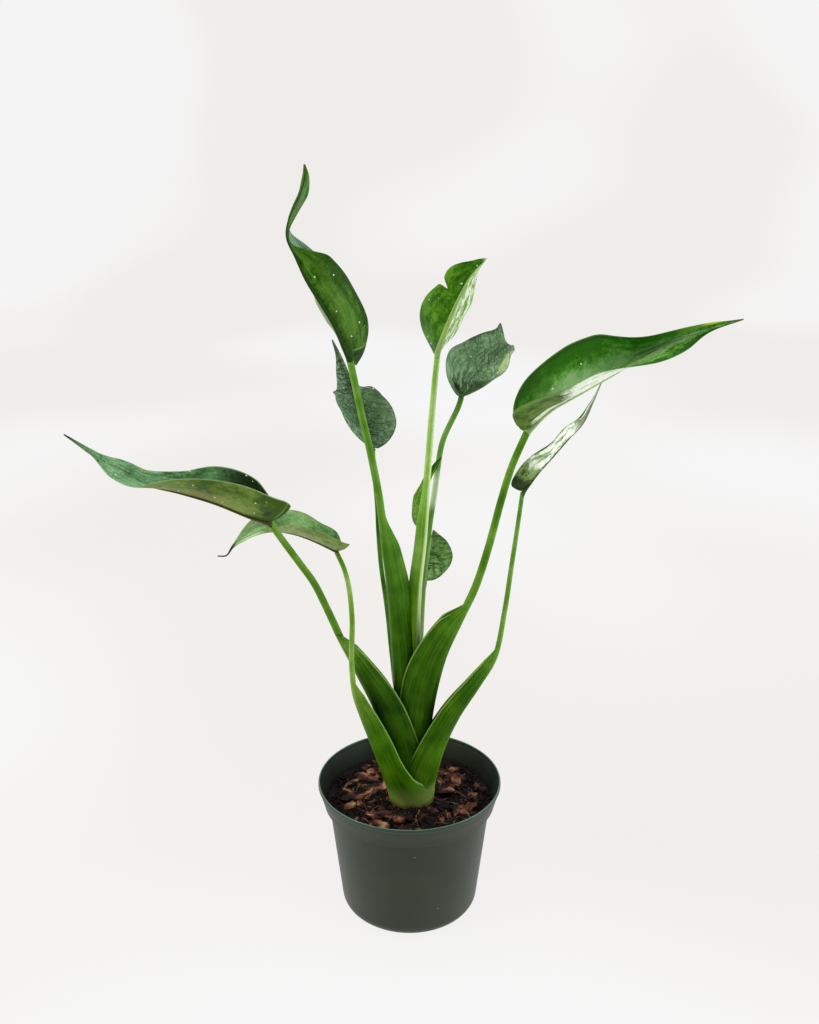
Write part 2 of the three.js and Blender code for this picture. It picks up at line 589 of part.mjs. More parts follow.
// The plant: outer sheaths first, each later stalk cut clear of those round it and of its own blade
function plantSolids() {
  const blades = LEAVES.map((leaf) => bladeSolid(leaf));
  const blockers = [];
  return LEAVES.map((leaf, i) => {
    const whole = stalkSolid(leaf);
    const ownBlade = [blades[i], swollen(blades[i], CLEARANCE)];
    const stalk = largestBody(Manifold.difference([whole, ...ownBlade, ...blockers]));
    blockers.push(whole, swollen(whole, CLEARANCE));
    return { leaf, stalk, blade: blades[i] };
  });
}

const plant = plantSolids();
const holes = CROWNS.map(({ x, y, hole }) => (
  Manifold.cylinder(HOLE_HEIGHT, hole, hole, HOLE_SIDES).translate([x, y, FOOT_HEIGHT - CLEARANCE])
));
const room = Manifold.union([...holes, ...plant.map(({ stalk }) => swollen(stalk, CLEARANCE))]);
const soil = largestBody(Manifold.union([soilPlug(), ...barkChips()]).subtract(room));

const group = new THREE.Group();
group.add(meshOf("pot", potSolid(), 0x2f4038, 0.45));
group.add(meshOf("soil", soil, 0x3a2418, 0.95));
for (const { leaf, stalk, blade } of plant) {
  group.add(meshOf(`${leaf.name}_stalk`, stalk, leaf.color, 0.4));
  group.add(meshOf(`${leaf.name}_blade`, blade, leaf.color, 0.35));
}

export default group;
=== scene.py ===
# The potted tiny dancer alocasia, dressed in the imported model's frame: pot, potting mix and ten leaves.
# Lengths are written in millimetres and turned to metres where a mesh is made.
import math

import bmesh
import bpy
import numpy as np
from mathutils import Euler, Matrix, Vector, noise


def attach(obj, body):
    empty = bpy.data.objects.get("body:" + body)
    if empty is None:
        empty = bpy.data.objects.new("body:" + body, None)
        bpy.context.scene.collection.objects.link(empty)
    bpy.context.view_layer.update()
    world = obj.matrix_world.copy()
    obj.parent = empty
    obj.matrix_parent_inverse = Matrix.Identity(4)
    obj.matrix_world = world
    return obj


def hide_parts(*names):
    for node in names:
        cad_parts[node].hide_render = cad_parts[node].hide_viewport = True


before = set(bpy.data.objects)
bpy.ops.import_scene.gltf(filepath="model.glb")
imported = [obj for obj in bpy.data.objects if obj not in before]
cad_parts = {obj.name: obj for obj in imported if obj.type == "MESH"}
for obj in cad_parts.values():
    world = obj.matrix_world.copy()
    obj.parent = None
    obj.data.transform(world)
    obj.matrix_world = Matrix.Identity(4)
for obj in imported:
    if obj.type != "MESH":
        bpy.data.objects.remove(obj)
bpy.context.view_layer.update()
scene = bpy.context.scene
scene.view_settings.view_transform = "Standard"
MM = 0.001

# Camera: a level look from a little above the leaves, about 20 degrees down, at the pot's axis. The lens
# gives 1300 pixels of focal length in the 819 by 1024 frame.
FOCAL_PIXELS = 1300
FRAME_HEIGHT = 1024
FILM = 36
camera_data = bpy.data.cameras.new("camera")
camera_data.sensor_fit = "VERTICAL"
camera_data.sensor_height = FILM
camera_data.lens = FOCAL_PIXELS * FILM / FRAME_HEIGHT
camera = bpy.data.objects.new("camera", camera_data)
camera.location = (0, -0.9398, 0.7055)
camera.rotation_euler = (math.radians(90 - 20.45), 0, 0)
scene.collection.objects.link(camera)
scene.camera = camera


class Wire:
    """One output of a node tree, so that arithmetic on it adds Math nodes to the tree."""

    def __init__(self, graph, socket):
        self.graph = graph
        self.socket = socket

    def math(self, operation, *values):
        return self.graph.node("ShaderNodeMath", {"operation": operation}, dict(enumerate(values)))

    def __add__(self, other):
        return self.math("ADD", self, other)

    def __radd__(self, other):
        return self.math("ADD", other, self)

    def __sub__(self, other):
        return self.math("SUBTRACT", self, other)

    def __rsub__(self, other):
        return self.math("SUBTRACT", other, self)

    def __mul__(self, other):
        return self.math("MULTIPLY", self, other)

    def __rmul__(self, other):
        return self.math("MULTIPLY", other, self)

    def __truediv__(self, other):
        return self.math("DIVIDE", self, other)

    def __rtruediv__(self, other):
        return self.math("DIVIDE", other, self)

    def __pow__(self, other):
        return self.math("POWER", self, other)


class Graph:
    """A node tree of a finish or of a rule for repeats, built one node at a time."""

    def __init__(self, tree):
        self.tree = tree

    def node(self, kind, settings=None, inputs=None, output=0):
        made = self.tree.nodes.new(kind)
        for name, value in (settings or {}).items():
            if name == "stops":
                self.set_stops(made.color_ramp, value)
            else:
                setattr(made, name, value)
        for name, value in (inputs or {}).items():
            socket = made.inputs[name]
            if isinstance(value, Wire):
                self.tree.links.new(value.socket, socket)
            else:
                socket.default_value = value
        return Wire(self, made.outputs[output])

    def set_stops(self, ramp, stops):
        while len(ramp.elements) > 1:
            ramp.elements.remove(ramp.elements[0])
        for i, (place, color) in enumerate(stops):
            element = ramp.elements[0] if i == 0 else ramp.elements.new(place)
            element.position = place
            element.color = (*color, 1)

    def ease(self, value, low, high):
        """0 below low, 1 above high, and smooth between them. Low may be the larger one."""
        settings = {"interpolation_type": "SMOOTHSTEP"}
        if low < high:
            return self.node("ShaderNodeMapRange", settings, {0: value, 1: low, 2: high})
        return 1 - self.node("ShaderNodeMapRange", settings, {0: value, 1: high, 2: low})

    def blend(self, factor, first, second, mode="MIX"):
        """Colour mix of first and second."""
        settings = {"data_type": "RGBA", "blend_type": mode}
        colors = [c if isinstance(c, Wire) else (*c, 1) for c in (first, second)]
        return self.node("ShaderNodeMix", settings, {0: factor, 6: colors[0], 7: colors[1]}, 2)

    def noise(self, vector, scale, detail=3, rough=0.5, output="Fac"):
        inputs = {"Vector": vector, "Scale": scale, "Detail": detail, "Roughness": rough}
        return self.node("ShaderNodeTexNoise", None, inputs, output)

    def stretch(self, vector, scale):
        """A vector scaled by a different amount on each axis."""
        return self.node("ShaderNodeVectorMath", {"operation": "MULTIPLY"}, {0: vector, 1: scale}, "Vector")


class Finish(Graph):
    """A material: a node tree that ends in one Principled shader."""

    def __init__(self, name):
        self.material = bpy.data.materials.new(name)
        self.material.use_nodes = True
        super().__init__(self.material.node_tree)
        self.shader = self.tree.nodes["Principled BSDF"]

    def coordinates(self, kind="Object"):
        return self.node("ShaderNodeTexCoord", None, None, kind)

    def attribute(self, name, output="Fac"):
        return self.node("ShaderNodeAttribute", {"attribute_name": name}, None, output)

    def parts(self, vector):
        """The three numbers of a vector."""
        node = self.node("ShaderNodeSeparateXYZ", None, {0: vector}).socket.node
        return [Wire(self, node.outputs[axis]) for axis in range(3)]

    def bump(self, height, distance, strength=1.0, below=None):
        inputs = {"Height": height, "Distance": distance, "Strength": strength}
        if below is not None:
            inputs["Normal"] = below
        return self.node("ShaderNodeBump", None, inputs)

    def set(self, **values):
        """Sets the shader's sockets. An underscore in a name stands for a space."""
        for name, value in values.items():
            socket = self.shader.inputs[name.replace("_", " ")]
            if isinstance(value, Wire):
                self.tree.links.new(value.socket, socket)
            else:
                socket.default_value = (*value, 1) if isinstance(value, tuple) and len(value) == 3 else value
        return self.material


def rgb(red, green, blue):
    """Linear colour from the usual 0 to 255 numbers."""
    return tuple((c / 255 / 12.92 if c <= 10 else ((c / 255 + 0.055) / 1.055) ** 2.4) for c in (red, green, blue))


def piece(name, points, faces, material, smooth=True):
    """A mesh object at the origin from points in millimetres."""
    mesh = bpy.data.meshes.new(name)
    mesh.from_pydata((np.asarray(points, float) * MM).tolist(), [], [list(f) for f in faces])
    mesh.materials.append(material)
    mesh.polygons.foreach_set("use_smooth", [smooth] * len(mesh.polygons))
    mesh.update()
    made = bpy.data.objects.new(name, mesh)
    scene.collection.objects.link(made)
    return made


# Studio: a seamless pale sweep that rises behind the plant, in warm white with faint soft shade.
SWEEP_NEAR = -3000
SWEEP_BACK = 2200
SWEEP_BEND = 1200
SWEEP_TOP = 3500
SWEEP_WIDE = 5000


def studio_sweep():
    finish = Finish("studio_paper")
    shade = finish.noise(finish.coordinates(), 0.9, 1)
    color = finish.blend(finish.ease(shade, 0.4, 0.6), rgb(240, 237, 234), rgb(246, 246, 246))
    material = finish.set(
        Base_Color=(0.04, 0.04, 0.04), Roughness=1.0, Specular_IOR_Level=0.0, Emission_Color=color,
        Emission_Strength=0.96,
    )
    bend = [
        (SWEEP_BACK + SWEEP_BEND * math.sin(a), SWEEP_BEND * (1 - math.cos(a)))
        for a in np.linspace(0, math.pi / 2, 17)
    ]
    line = [(SWEEP_NEAR, 0), *bend, (SWEEP_BACK + SWEEP_BEND, SWEEP_TOP)]
    points = [(x, y, z) for y, z in line for x in (-SWEEP_WIDE, SWEEP_WIDE)]
    faces = [(2 * i, 2 * i + 1, 2 * i + 3, 2 * i + 2) for i in range(len(line) - 1)]
    return piece("studio_sweep", points, faces, material)


studio_sweep()

# Light: a pale room, darker behind the camera, with one large soft light above, one at each side and a
# low bright one at the right that whitens the undersides that face it.
ROOM_BRIGHT = (0.92, 0.93, 0.95)
ROOM_DARK = (0.16, 0.16, 0.16)
ROOM_STRENGTH = 0.75

world = bpy.data.worlds.new("room")
world.use_nodes = True
scene.world = world
room = Graph(world.node_tree)
way = room.node("ShaderNodeTexCoord", None, None, "Generated")
sideways = room.node("ShaderNodeSeparateXYZ", None, {0: way}, "Y")
front = room.ease(sideways, 0.1, -0.8)
glow = room.blend(front, ROOM_BRIGHT, ROOM_DARK)
backdrop = world.node_tree.nodes["Background"]
world.node_tree.links.new(glow.socket, backdrop.inputs["Color"])
backdrop.inputs["Strength"].default_value = ROOM_STRENGTH


def soft_light(name, place, aim, size, watts, color):
    data = bpy.data.lights.new(name, "AREA")
    data.shape = "RECTANGLE"
    data.size, data.size_y = size
    data.energy = watts
    data.color = color
    light = bpy.data.objects.new(name, data)
    light.location = place
    way = bpy.data.objects.new(name + "_aim", None).location.copy()
    way.xyz = [a - p for a, p in zip(aim, place)]
    light.rotation_euler = way.to_track_quat("-Z", "Y").to_euler()
    scene.collection.objects.link(light)


soft_light("light_above", (-0.2, 0.1, 1.9), (0, 0, 0.3), (1.6, 1.2), 16, (1, 1, 1))
soft_light("light_left", (-1.5, -0.5, 0.9), (0, 0, 0.35), (0.9, 1.2), 13, (1, 0.93, 0.72))
soft_light("light_right", (1.5, -0.2, 0.5), (0, 0, 0.35), (0.8, 1.2), 14, (0.95, 1, 0.94))

# Pot: a six inch nursery pot, injection moulded in dark green polypropylene, with a flared rim band over
# a small shoulder, a tapered wall, a rounded foot and six drain holes. Its profile is turned by rule.
POT_HEIGHT = 118
RIM_RADIUS = 76
BAND_HEIGHT = 19.5
BAND_FOOT_RADIUS = 71.3
SHOULDER = 2
WALL_TOP_RADIUS = 67.1
BASE_RADIUS = 57.4
FOOT_CORNER = 12
FOOT_TURN = 84
POT_WALL = 1.5
POT_FLOOR = 2.2
POT_SIDES = 144


def pot_outline(inset):
    """Half of the pot's section from the axis up to under the lip, as radius and height."""
    foot = POT_FLOOR if inset else 0
    corner = FOOT_CORNER - inset
    line = [(0, foot), (20, foot)]
    for angle in np.radians(np.linspace(0, FOOT_TURN, 10)):
        radius = BASE_RADIUS - FOOT_CORNER + corner * math.sin(angle)
        line.append((radius, foot + corner * (1 - math.cos(angle))))
    band_foot = POT_HEIGHT - BAND_HEIGHT
    wall_top = WALL_TOP_RADIUS - inset
    line += [(wall_top - 0.1, band_foot - SHOULDER - 0.8), (wall_top, band_foot - SHOULDER)]
    line += [(BAND_FOOT_RADIUS - inset - 0.7, band_foot - 0.2), (BAND_FOOT_RADIUS - inset - 0.1, band_foot + 0.1)]
    line += [(BAND_FOOT_RADIUS - inset, band_foot + 0.9)]
    line += [(RIM_RADIUS - inset - 0.8, POT_HEIGHT - 4.2), (RIM_RADIUS - inset - 0.45, POT_HEIGHT - 3.6)]
    line += [(RIM_RADIUS - inset, POT_HEIGHT - 3.0), (RIM_RADIUS - inset, POT_HEIGHT - 1.2)]
    return line


def pot_profile():
    outer, middle, inner = RIM_RADIUS - 0.2, RIM_RADIUS - 0.75, RIM_RADIUS - 1.3
    lip = [(outer, POT_HEIGHT - 0.5), (middle, POT_HEIGHT), (inner, POT_HEIGHT - 0.5)]
    return [*pot_outline(0), *lip, *reversed(pot_outline(POT_WALL))]


def turned(name, profile, sides, material):
    """A closed solid of revolution about the pot's axis; the profile starts and ends on the axis."""
    points, rings = [], []
    for radius, height in profile:
        count = sides if radius > 0 else 1
        turn = np.arange(count) * 2 * math.pi / sides
        points += [(radius * math.cos(a), radius * math.sin(a), height) for a in turn]
        rings.append((len(points) - count, count))
    faces = []
    for (low, low_count), (high, high_count) in zip(rings, rings[1:]):
        for i in range(sides):
            a, b = low + i % low_count, low + (i + 1) % low_count
            c, d = high + i % high_count, high + (i + 1) % high_count
            if min(low_count, high_count) > 1:
                faces.append([a, b, d, c])
            else:
                faces.append([a, b, d] if high_count == 1 else [a, d, c])
    return piece(name, points, faces, material)


BAND_SLANT = 0.303
BAND_MIDDLE = 0.0407
BAND_FOOT = (0.0985, 0.099)
LIP_GLOW = (0.113, 0.1168)
LIP_INSIDE = (0.1172, 0.116)
LIP_HIGHLIGHT = (0.1172, 0.1178)


def pot_plastic():
    """Dark green plastic, satin, with faint scuffs, one or two dried water spots, painted shade on the inside
    of the rim band, a painted teal highlight under the lip and a painted pale highlight along its top."""
    finish = Finish("pot_plastic")
    place = finish.coordinates()
    x, y, height = finish.parts(place)
    radius = (x * x + y * y) ** 0.5
    cloud = finish.noise(place, 28, 4, 0.6)
    grain = finish.noise(place, 1500, 2)
    scuff = finish.noise(finish.stretch(place, (600, 600, 60)), 1, 4, 0.7)
    spots = finish.noise(place, 120, 1, 0.3)
    color = finish.blend(finish.ease(cloud, 0.35, 0.7), rgb(16, 27, 17), rgb(28, 41, 27))
    # painted highlight: a teal band under the lip, standing in for the room's reflection
    color = finish.blend(finish.ease(height, *LIP_GLOW) * 0.75, color, rgb(30, 70, 56))
    color = finish.blend(finish.ease(scuff, 0.66, 0.8) * 0.2, color, rgb(110, 118, 104))
    color = finish.blend(finish.ease(spots, 0.8, 0.83) * 0.5, color, rgb(150, 160, 148))
    # painted highlight: a pale line along the top of the lip
    color = finish.blend(finish.ease(height, *LIP_HIGHLIGHT) * 0.55, color, rgb(104, 138, 122))
    # painted shade: the inside of the rim band darkened
    inside = finish.ease(radius - height * BAND_SLANT, BAND_MIDDLE + 0.0003, BAND_MIDDLE - 0.0003)
    inside = inside * finish.ease(height, *BAND_FOOT) * finish.ease(height, *LIP_INSIDE)
    color = finish.blend(inside * 0.9, color, rgb(4, 22, 18))
    rough = 0.38 + cloud * 0.14 + inside * 0.2
    return finish.set(
        Base_Color=color, Roughness=rough, Specular_IOR_Level=0.5, Specular_Tint=(0.95, 1.0, 0.8),
        Normal=finish.bump(grain, 0.0001, 0.25),
    )


DRAIN_HOLES = 6
DRAIN_RADIUS = 4
DRAIN_RING = 36


def drilled(made):
    """Cuts the drain holes through the pot's floor."""
    cutters = bmesh.new()
    for turn in np.arange(DRAIN_HOLES) * 2 * math.pi / DRAIN_HOLES:
        place = Vector((DRAIN_RING * math.cos(turn), DRAIN_RING * math.sin(turn), 0)) * MM
        rim = bmesh.ops.create_cone(
            cutters, cap_ends=True, segments=32, radius1=DRAIN_RADIUS * MM, radius2=DRAIN_RADIUS * MM, depth=9 * MM,
        )
        bmesh.ops.translate(cutters, verts=rim["verts"], vec=place)
    mesh = bpy.data.meshes.new("drain_cutters")
    cutters.to_mesh(mesh)
    cutters.free()
    cutter = bpy.data.objects.new("drain_cutters", mesh)
    scene.collection.objects.link(cutter)
    cut = made.modifiers.new("drain_holes", "BOOLEAN")
    cut.object = cutter
    cut.solver = "EXACT"
    made.data = bpy.data.meshes.new_from_object(made.evaluated_get(bpy.context.evaluated_depsgraph_get()))
    made.modifiers.remove(cut)
    bpy.data.objects.remove(cutter)
    return made


pot = drilled(turned("nursery_pot", pot_profile(), POT_SIDES, pot_plastic()))
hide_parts("pot")
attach(pot, "root")

# Potting mix: damp bark, coir and peat, heaped a little round the crowns. Its bumpy top carries large
# bark chips, seeded as in the solids, and shards, crumbs and pale fibres that are strewn by rule.
SOIL_LEVEL = 97.5
SOIL_EDGE = 65
SOIL_MOUND = 3.5
SOIL_BANK = {"x": 3.5, "y": -22, "height": 3, "spread": 17}
SOIL_BUMP = 0.55
SOIL_BUMP_SIZE = 5
SOIL_REACH = 68.8
SOIL_HEM = 60
SOIL_HEAP = 3
SOIL_SINK = 1.3
SOIL_RINGS = 56
SOIL_SPOKES = 170
CROWNS = [{"x": 3.5, "y": -4, "hole": 18.2}, {"x": 2, "y": 28, "hole": 9.6}]
CHIPS = 27
CHIP_LENGTH = (9, 20)
CHIP_WIDTH = (4, 9)
CHIP_THICKNESS = (2.5, 4)
CHIP_TILT = 12
CHIP_RING = 56
CHIP_GAP = 2
CHIP_OUTLINE = [(-0.5, 0), (0.5, 0), (-0.3, -0.5), (0.25, -0.4), (-0.2, 0.5), (0.35, 0.4)]
CHIP_STRAY = 0.12
CHIP_SEED = 7
CHIP_SPLIT = 1.1
CHIP_SPLIT_SCALE = 0.45
CHIP_SHIFTS = [(0, 0, 0), (31.4, 0, 0), (0, 31.4, 0)]
PLACED_CHIPS = [
    {"x": -25, "y": -28, "long": 20, "wide": 11, "turn": -8}, {"x": -7, "y": -37, "long": 10, "wide": 8, "turn": 60},
    {"x": -43, "y": -2, "long": 11, "wide": 8, "turn": 12}, {"x": -50, "y": -14, "long": 13, "wide": 8, "turn": 35},
    {"x": -36, "y": 29, "long": 22, "wide": 9, "turn": -28}, {"x": 30, "y": 8, "long": 18, "wide": 13, "turn": -48},
    {"x": 51, "y": -14, "long": 13, "wide": 7, "turn": 14}, {"x": 38, "y": 42, "long": 13, "wide": 8, "turn": 38},
]
PLACED_LIFT = 1.6


def heap(radius):
    """How far the loose mix lies heaped against the pot's wall."""
    return SOIL_HEAP * min(1, max(0, radius - SOIL_HEM) / (SOIL_EDGE - SOIL_HEM))


def soil_height(x, y):
    """Height of the mix at a place, the same formula as the solid's."""
    mound = SOIL_MOUND * (1 - (x * x + y * y) / SOIL_EDGE**2)
    away = (x - SOIL_BANK["x"]) ** 2 + (y - SOIL_BANK["y"]) ** 2
    rise = SOIL_BANK["height"] * np.exp(-away / SOIL_BANK["spread"] ** 2)
    u, v = x / SOIL_BUMP_SIZE, y / SOIL_BUMP_SIZE
    bumps = np.sin(u) * np.cos(1.2 * v) + np.sin(0.65 * (u + v)) + np.cos(0.55 * u - 1.1 * v)
    return SOIL_LEVEL + mound + rise + SOIL_BUMP * bumps


def bark_and_peat():
    """Mix tissue: nearly black peat that turns to red brown bark and tan splinters with the tone."""
    finish = Finish("potting_mix")
    place = finish.coordinates()
    tone = finish.attribute("tone")
    speck = finish.noise(place, 420, 4, 0.7)
    fibre = finish.noise(finish.stretch(place, (900, 260, 900)), 1, 3, 0.6)
    stops = [(0.0, rgb(11, 7, 7)), (0.3, rgb(38, 20, 16)), (0.55, rgb(92, 52, 38)), (0.78, rgb(152, 104, 78)),
        (1.0, rgb(190, 152, 122))]
    value = finish.ease(tone * 0.85 + speck * 0.3 + fibre * 0.1, 0.2, 1.1)
    color = finish.node("ShaderNodeValToRGB", {"stops": stops}, {"Fac": value}, "Color")
    height = finish.bump(fibre * 0.5 + speck * 0.5, 0.0012, 0.7)
    return finish.set(Base_Color=color, Roughness=0.6 + speck * 0.25, Specular_IOR_Level=0.18, Normal=height)


def tinted(made, tone):
    """Marks how pale each point of a piece of the mix is."""
    mark = made.data.attributes.new("tone", "FLOAT", "POINT")
    mark.data.foreach_set("value", np.broadcast_to(np.asarray(tone, float), len(made.data.vertices)).copy())
    return made


def mix_plug(material):
    """The mix alone, from its bumpy top down the pot's wall to its floor."""
    profile = [(0, POT_FLOOR + 0.4), *((r, h + 0.4) for r, h in pot_outline(POT_WALL + 0.4)[2:12])]
    profile.append((SOIL_EDGE, SOIL_LEVEL - SOIL_SINK))
    profile += [(SOIL_REACH * ring / SOIL_RINGS, SOIL_LEVEL) for ring in range(SOIL_RINGS, -1, -1)]
    plug = turned("potting_mix", profile, SOIL_SPOKES, material)
    rough = np.random.default_rng(5)
    waves = [(rough.uniform(0.25, 1.3, 2) * rough.choice([-1, 1], 2), rough.uniform(0, 6.28)) for _ in range(14)]
    for vertex in plug.data.vertices:
        x, y, z = (c / MM for c in vertex.co)
        if z > SOIL_LEVEL - 0.01:
            grit = sum(math.sin(a * x + b * y + phase) for (a, b), phase in waves)
            top = soil_height(x, y) - 0.8 + 0.22 * grit
            radius = math.hypot(x, y)
            heaped = SOIL_LEVEL - 0.9 + heap(radius)
            vertex.co.z = (max(top, heaped) if radius > SOIL_HEM else top) * MM
    return tinted(plug, 0.12)


def seeded(seed):
    """Repeatable numbers from 0 to 1, the same ones as the solids' chips are strewn with."""
    while True:
        seed = (seed * 1664525 + 1013904223) % 4294967296
        yield seed / 4294967296


def add_chip(bark, long, wide, thick, strays, turn, seat):
    """Adds one flat six-cornered shard; strays are how far its corners leave the outline."""
    outline = [(z, corner) for z in (-thick / 2, thick / 2) for corner in CHIP_OUTLINE]
    skin = []
    for (z, (a, b)), (along_it, across_it) in zip(outline, strays):
        corner = Vector((long * (a + along_it), wide * (b + across_it), z))
        skin.append(bark.verts.new((turn.to_matrix() @ corner + seat) * MM))
    hull = bmesh.ops.convex_hull(bark, input=skin)
    loose = [e for e in hull["geom_interior"] + hull["geom_unused"] if isinstance(e, bmesh.types.BMVert)]
    bmesh.ops.delete(bark, geom=loose, context="VERTS")


def large_chips(material):
    """The solids' bark chips, from the same seeded draws, and a few placed ones, split and weathered."""
    draw = seeded(CHIP_SEED)
    bark = bmesh.new()
    count = 0
    while count < CHIPS:
        distance, angle = CHIP_RING * math.sqrt(next(draw)), 2 * math.pi * next(draw)
        x, y = distance * math.cos(angle), distance * math.sin(angle)
        long, wide, thick = (a + (b - a) * next(draw) for a, b in (CHIP_LENGTH, CHIP_WIDTH, CHIP_THICKNESS))
        if any(math.hypot(x - c["x"], y - c["y"]) < c["hole"] + CHIP_GAP + long / 2 for c in CROWNS):
            continue
        count += 1
        strays = [[CHIP_STRAY * (2 * next(draw) - 1) for _ in range(2)] for _ in range(2 * len(CHIP_OUTLINE))]
        tilt = [CHIP_TILT * (2 * next(draw) - 1) for _ in range(2)]
        turn = Euler([math.radians(v) for v in (*tilt, 360 * next(draw))])
        add_chip(bark, long, wide, thick, strays, turn, Vector((x, y, float(soil_height(x, y)))))
    loose = np.random.default_rng(8)
    for chip in PLACED_CHIPS:
        strays = loose.uniform(-CHIP_STRAY, CHIP_STRAY, (2 * len(CHIP_OUTLINE), 2)).tolist()
        turn = Euler([*loose.uniform(-0.2, 0.2, 2), math.radians(chip["turn"])])
        seat = Vector((chip["x"], chip["y"], float(soil_height(chip["x"], chip["y"])) + PLACED_LIFT))
        add_chip(bark, chip["long"], chip["wide"], CHIP_THICKNESS[0], strays, turn, seat)
    bmesh.ops.subdivide_edges(bark, edges=bark.edges[:], cuts=2, use_grid_fill=True)
    for vertex in bark.verts:
        place = vertex.co / MM * CHIP_SPLIT_SCALE
        vertex.co += Vector([noise.noise(place + Vector(shift)) for shift in CHIP_SHIFTS]) * CHIP_SPLIT * MM
    mesh = bpy.data.meshes.new("bark_chips")
    bark.to_mesh(mesh)
    bark.free()
    mesh.materials.append(material)
    made = bpy.data.objects.new("bark_chips", mesh)
    scene.collection.objects.link(made)
    return tinted(made, [0.52 + 0.65 * noise.noise(v.co / MM * 0.12) for v in mesh.vertices])


def mix_carpet(reach):
    """The mix's top out to a reach, without the crowns, which the loose bits are strewn on."""
    points, faces = [], []
    rings, spokes = 22, 90
    for ring in range(rings + 1):
        for spoke in range(spokes):
            radius, angle = reach * ring / rings, spoke * 2 * math.pi / spokes
            x, y = radius * math.cos(angle), radius * math.sin(angle)
            points.append((x, y, float(soil_height(x, y)) - 0.6 + heap(radius)))
    for ring in range(rings):
        for spoke in range(spokes):
            corner = ring * spokes + spoke
            beside = ring * spokes + (spoke + 1) % spokes
            x, y, _ = np.mean([points[corner], points[beside + spokes]], axis=0)
            if all(math.hypot(x - c["x"], y - c["y"]) > c["hole"] for c in CROWNS):
                faces.append((corner, corner + spokes, beside + spokes, beside))
    return points, faces


class Rule(Graph):
    """A geometry rule with named inputs, which lays repeats of a shape on a carrying mesh."""

    def __init__(self, name, kinds):
        super().__init__(bpy.data.node_groups.new(name, "GeometryNodeTree"))
        self.name = name
        self.keys = {}
        for label, kind in {"Geometry": "Geometry", "Finish": "Material", "Seed": "Int", **kinds}.items():
            socket = self.tree.interface.new_socket(label, in_out="INPUT", socket_type="NodeSocket" + kind)
            self.keys[label] = socket.identifier
        self.tree.interface.new_socket("Geometry", in_out="OUTPUT", socket_type="NodeSocketGeometry")
        entry = self.tree.nodes.new("NodeGroupInput")
        self.value = {socket.name: Wire(self, socket) for socket in entry.outputs if socket.name}

    def drawn(self, kind, low, high, more):
        """A random number or vector for each repeat."""
        first, result = {"FLOAT_VECTOR": (0, 0), "FLOAT": (2, 1)}[kind]
        inputs = {first: low, first + 1: high, "Seed": self.value["Seed"] + more}
        return self.node("FunctionNodeRandomValue", {"data_type": kind}, inputs, result)

    def marked(self, repeats, domain, name, value):
        """The repeats with a number kept on each under a name."""
        inputs = {"Geometry": repeats, "Name": name, "Value": value}
        return self.node("GeometryNodeStoreNamedAttribute", {"data_type": "FLOAT", "domain": domain}, inputs)

    def laid_on(self, carrier, repeats, values, material):
        """Runs the rule on an object, with plain meshes and one finish, and returns the repeats."""
        solid = self.node("GeometryNodeRealizeInstances", None, {0: repeats})
        done = self.node("GeometryNodeSetMaterial", None, {"Geometry": solid, "Material": self.value["Finish"]})
        leave = self.tree.nodes.new("NodeGroupOutput")
        self.tree.links.new(done.socket, leave.inputs[0])
        rule = carrier.modifiers.new(self.name, "NODES")
        rule.node_group = self.tree
        for label, size in {**values, "Finish": material}.items():
            rule[self.keys[label]] = size
        mesh = bpy.data.meshes.new_from_object(carrier.evaluated_get(bpy.context.evaluated_depsgraph_get()))
        carrier.modifiers.remove(rule)
        made = bpy.data.objects.new(self.name, mesh)
        scene.collection.objects.link(made)
        return made


def strewn(name, shape, reach, sizes, material):
    """Bits strewn on the mix's top: each is a copy of a small shape, turned, scaled and roughened."""
    rule = Rule(name, {
        "Bits in a square metre": "Float", "Least size": "Vector", "Largest size": "Vector", "Tilt": "Float",
        "Roughen": "Float", "Lump size": "Float", "Palest": "Float", "Darkest": "Float",
    })
    value = rule.value
    points = rule.node(
        "GeometryNodeDistributePointsOnFaces", None,
        {"Mesh": value["Geometry"], "Density": value["Bits in a square metre"], "Seed": value["Seed"]},
    )
    tilt = rule.node("ShaderNodeCombineXYZ", None, {0: value["Tilt"], 1: value["Tilt"], 2: 3.15})
    back = rule.node("ShaderNodeVectorMath", {"operation": "SCALE"}, {0: tilt, "Scale": -1})
    copies = rule.node("GeometryNodeInstanceOnPoints", None, {
        "Points": points,
        "Instance": shape(rule),
        "Rotation": rule.node("FunctionNodeEulerToRotation", None, {0: rule.drawn("FLOAT_VECTOR", back, tilt, 1)}),
        "Scale": rule.drawn("FLOAT_VECTOR", value["Least size"], value["Largest size"], 2),
    })
    toned = rule.marked(copies, "INSTANCE", "tone", rule.drawn("FLOAT", value["Darkest"], value["Palest"], 3))
    solid = rule.node("GeometryNodeRealizeInstances", None, {0: toned})
    place = rule.node("GeometryNodeInputPosition")
    waves = {"Vector": place, "Scale": 1 / value["Lump size"], "Detail": 2}
    lumps = rule.node("ShaderNodeTexNoise", None, waves, "Color")
    push = rule.node("ShaderNodeVectorMath", {"operation": "SUBTRACT"}, {0: lumps, 1: (0.5, 0.5, 0.5)})
    push = rule.node("ShaderNodeVectorMath", {"operation": "SCALE"}, {0: push, "Scale": value["Roughen"]})
    rough = rule.node("GeometryNodeSetPosition", None, {"Geometry": solid, "Offset": push})
    carpet = piece(name + "_carpet", *mix_carpet(reach), material)
    bits = rule.laid_on(carpet, rough, sizes, material)
    bpy.data.objects.remove(carpet)
    return bits


def shard(graph):
    return graph.node("GeometryNodeMeshCube", None, {
        "Size": (1, 1, 1), "Vertices X": 4, "Vertices Y": 3, "Vertices Z": 2,
    })


def crumb(graph):
    return graph.node("GeometryNodeMeshIcoSphere", None, {"Radius": 0.5, "Subdivisions": 1})


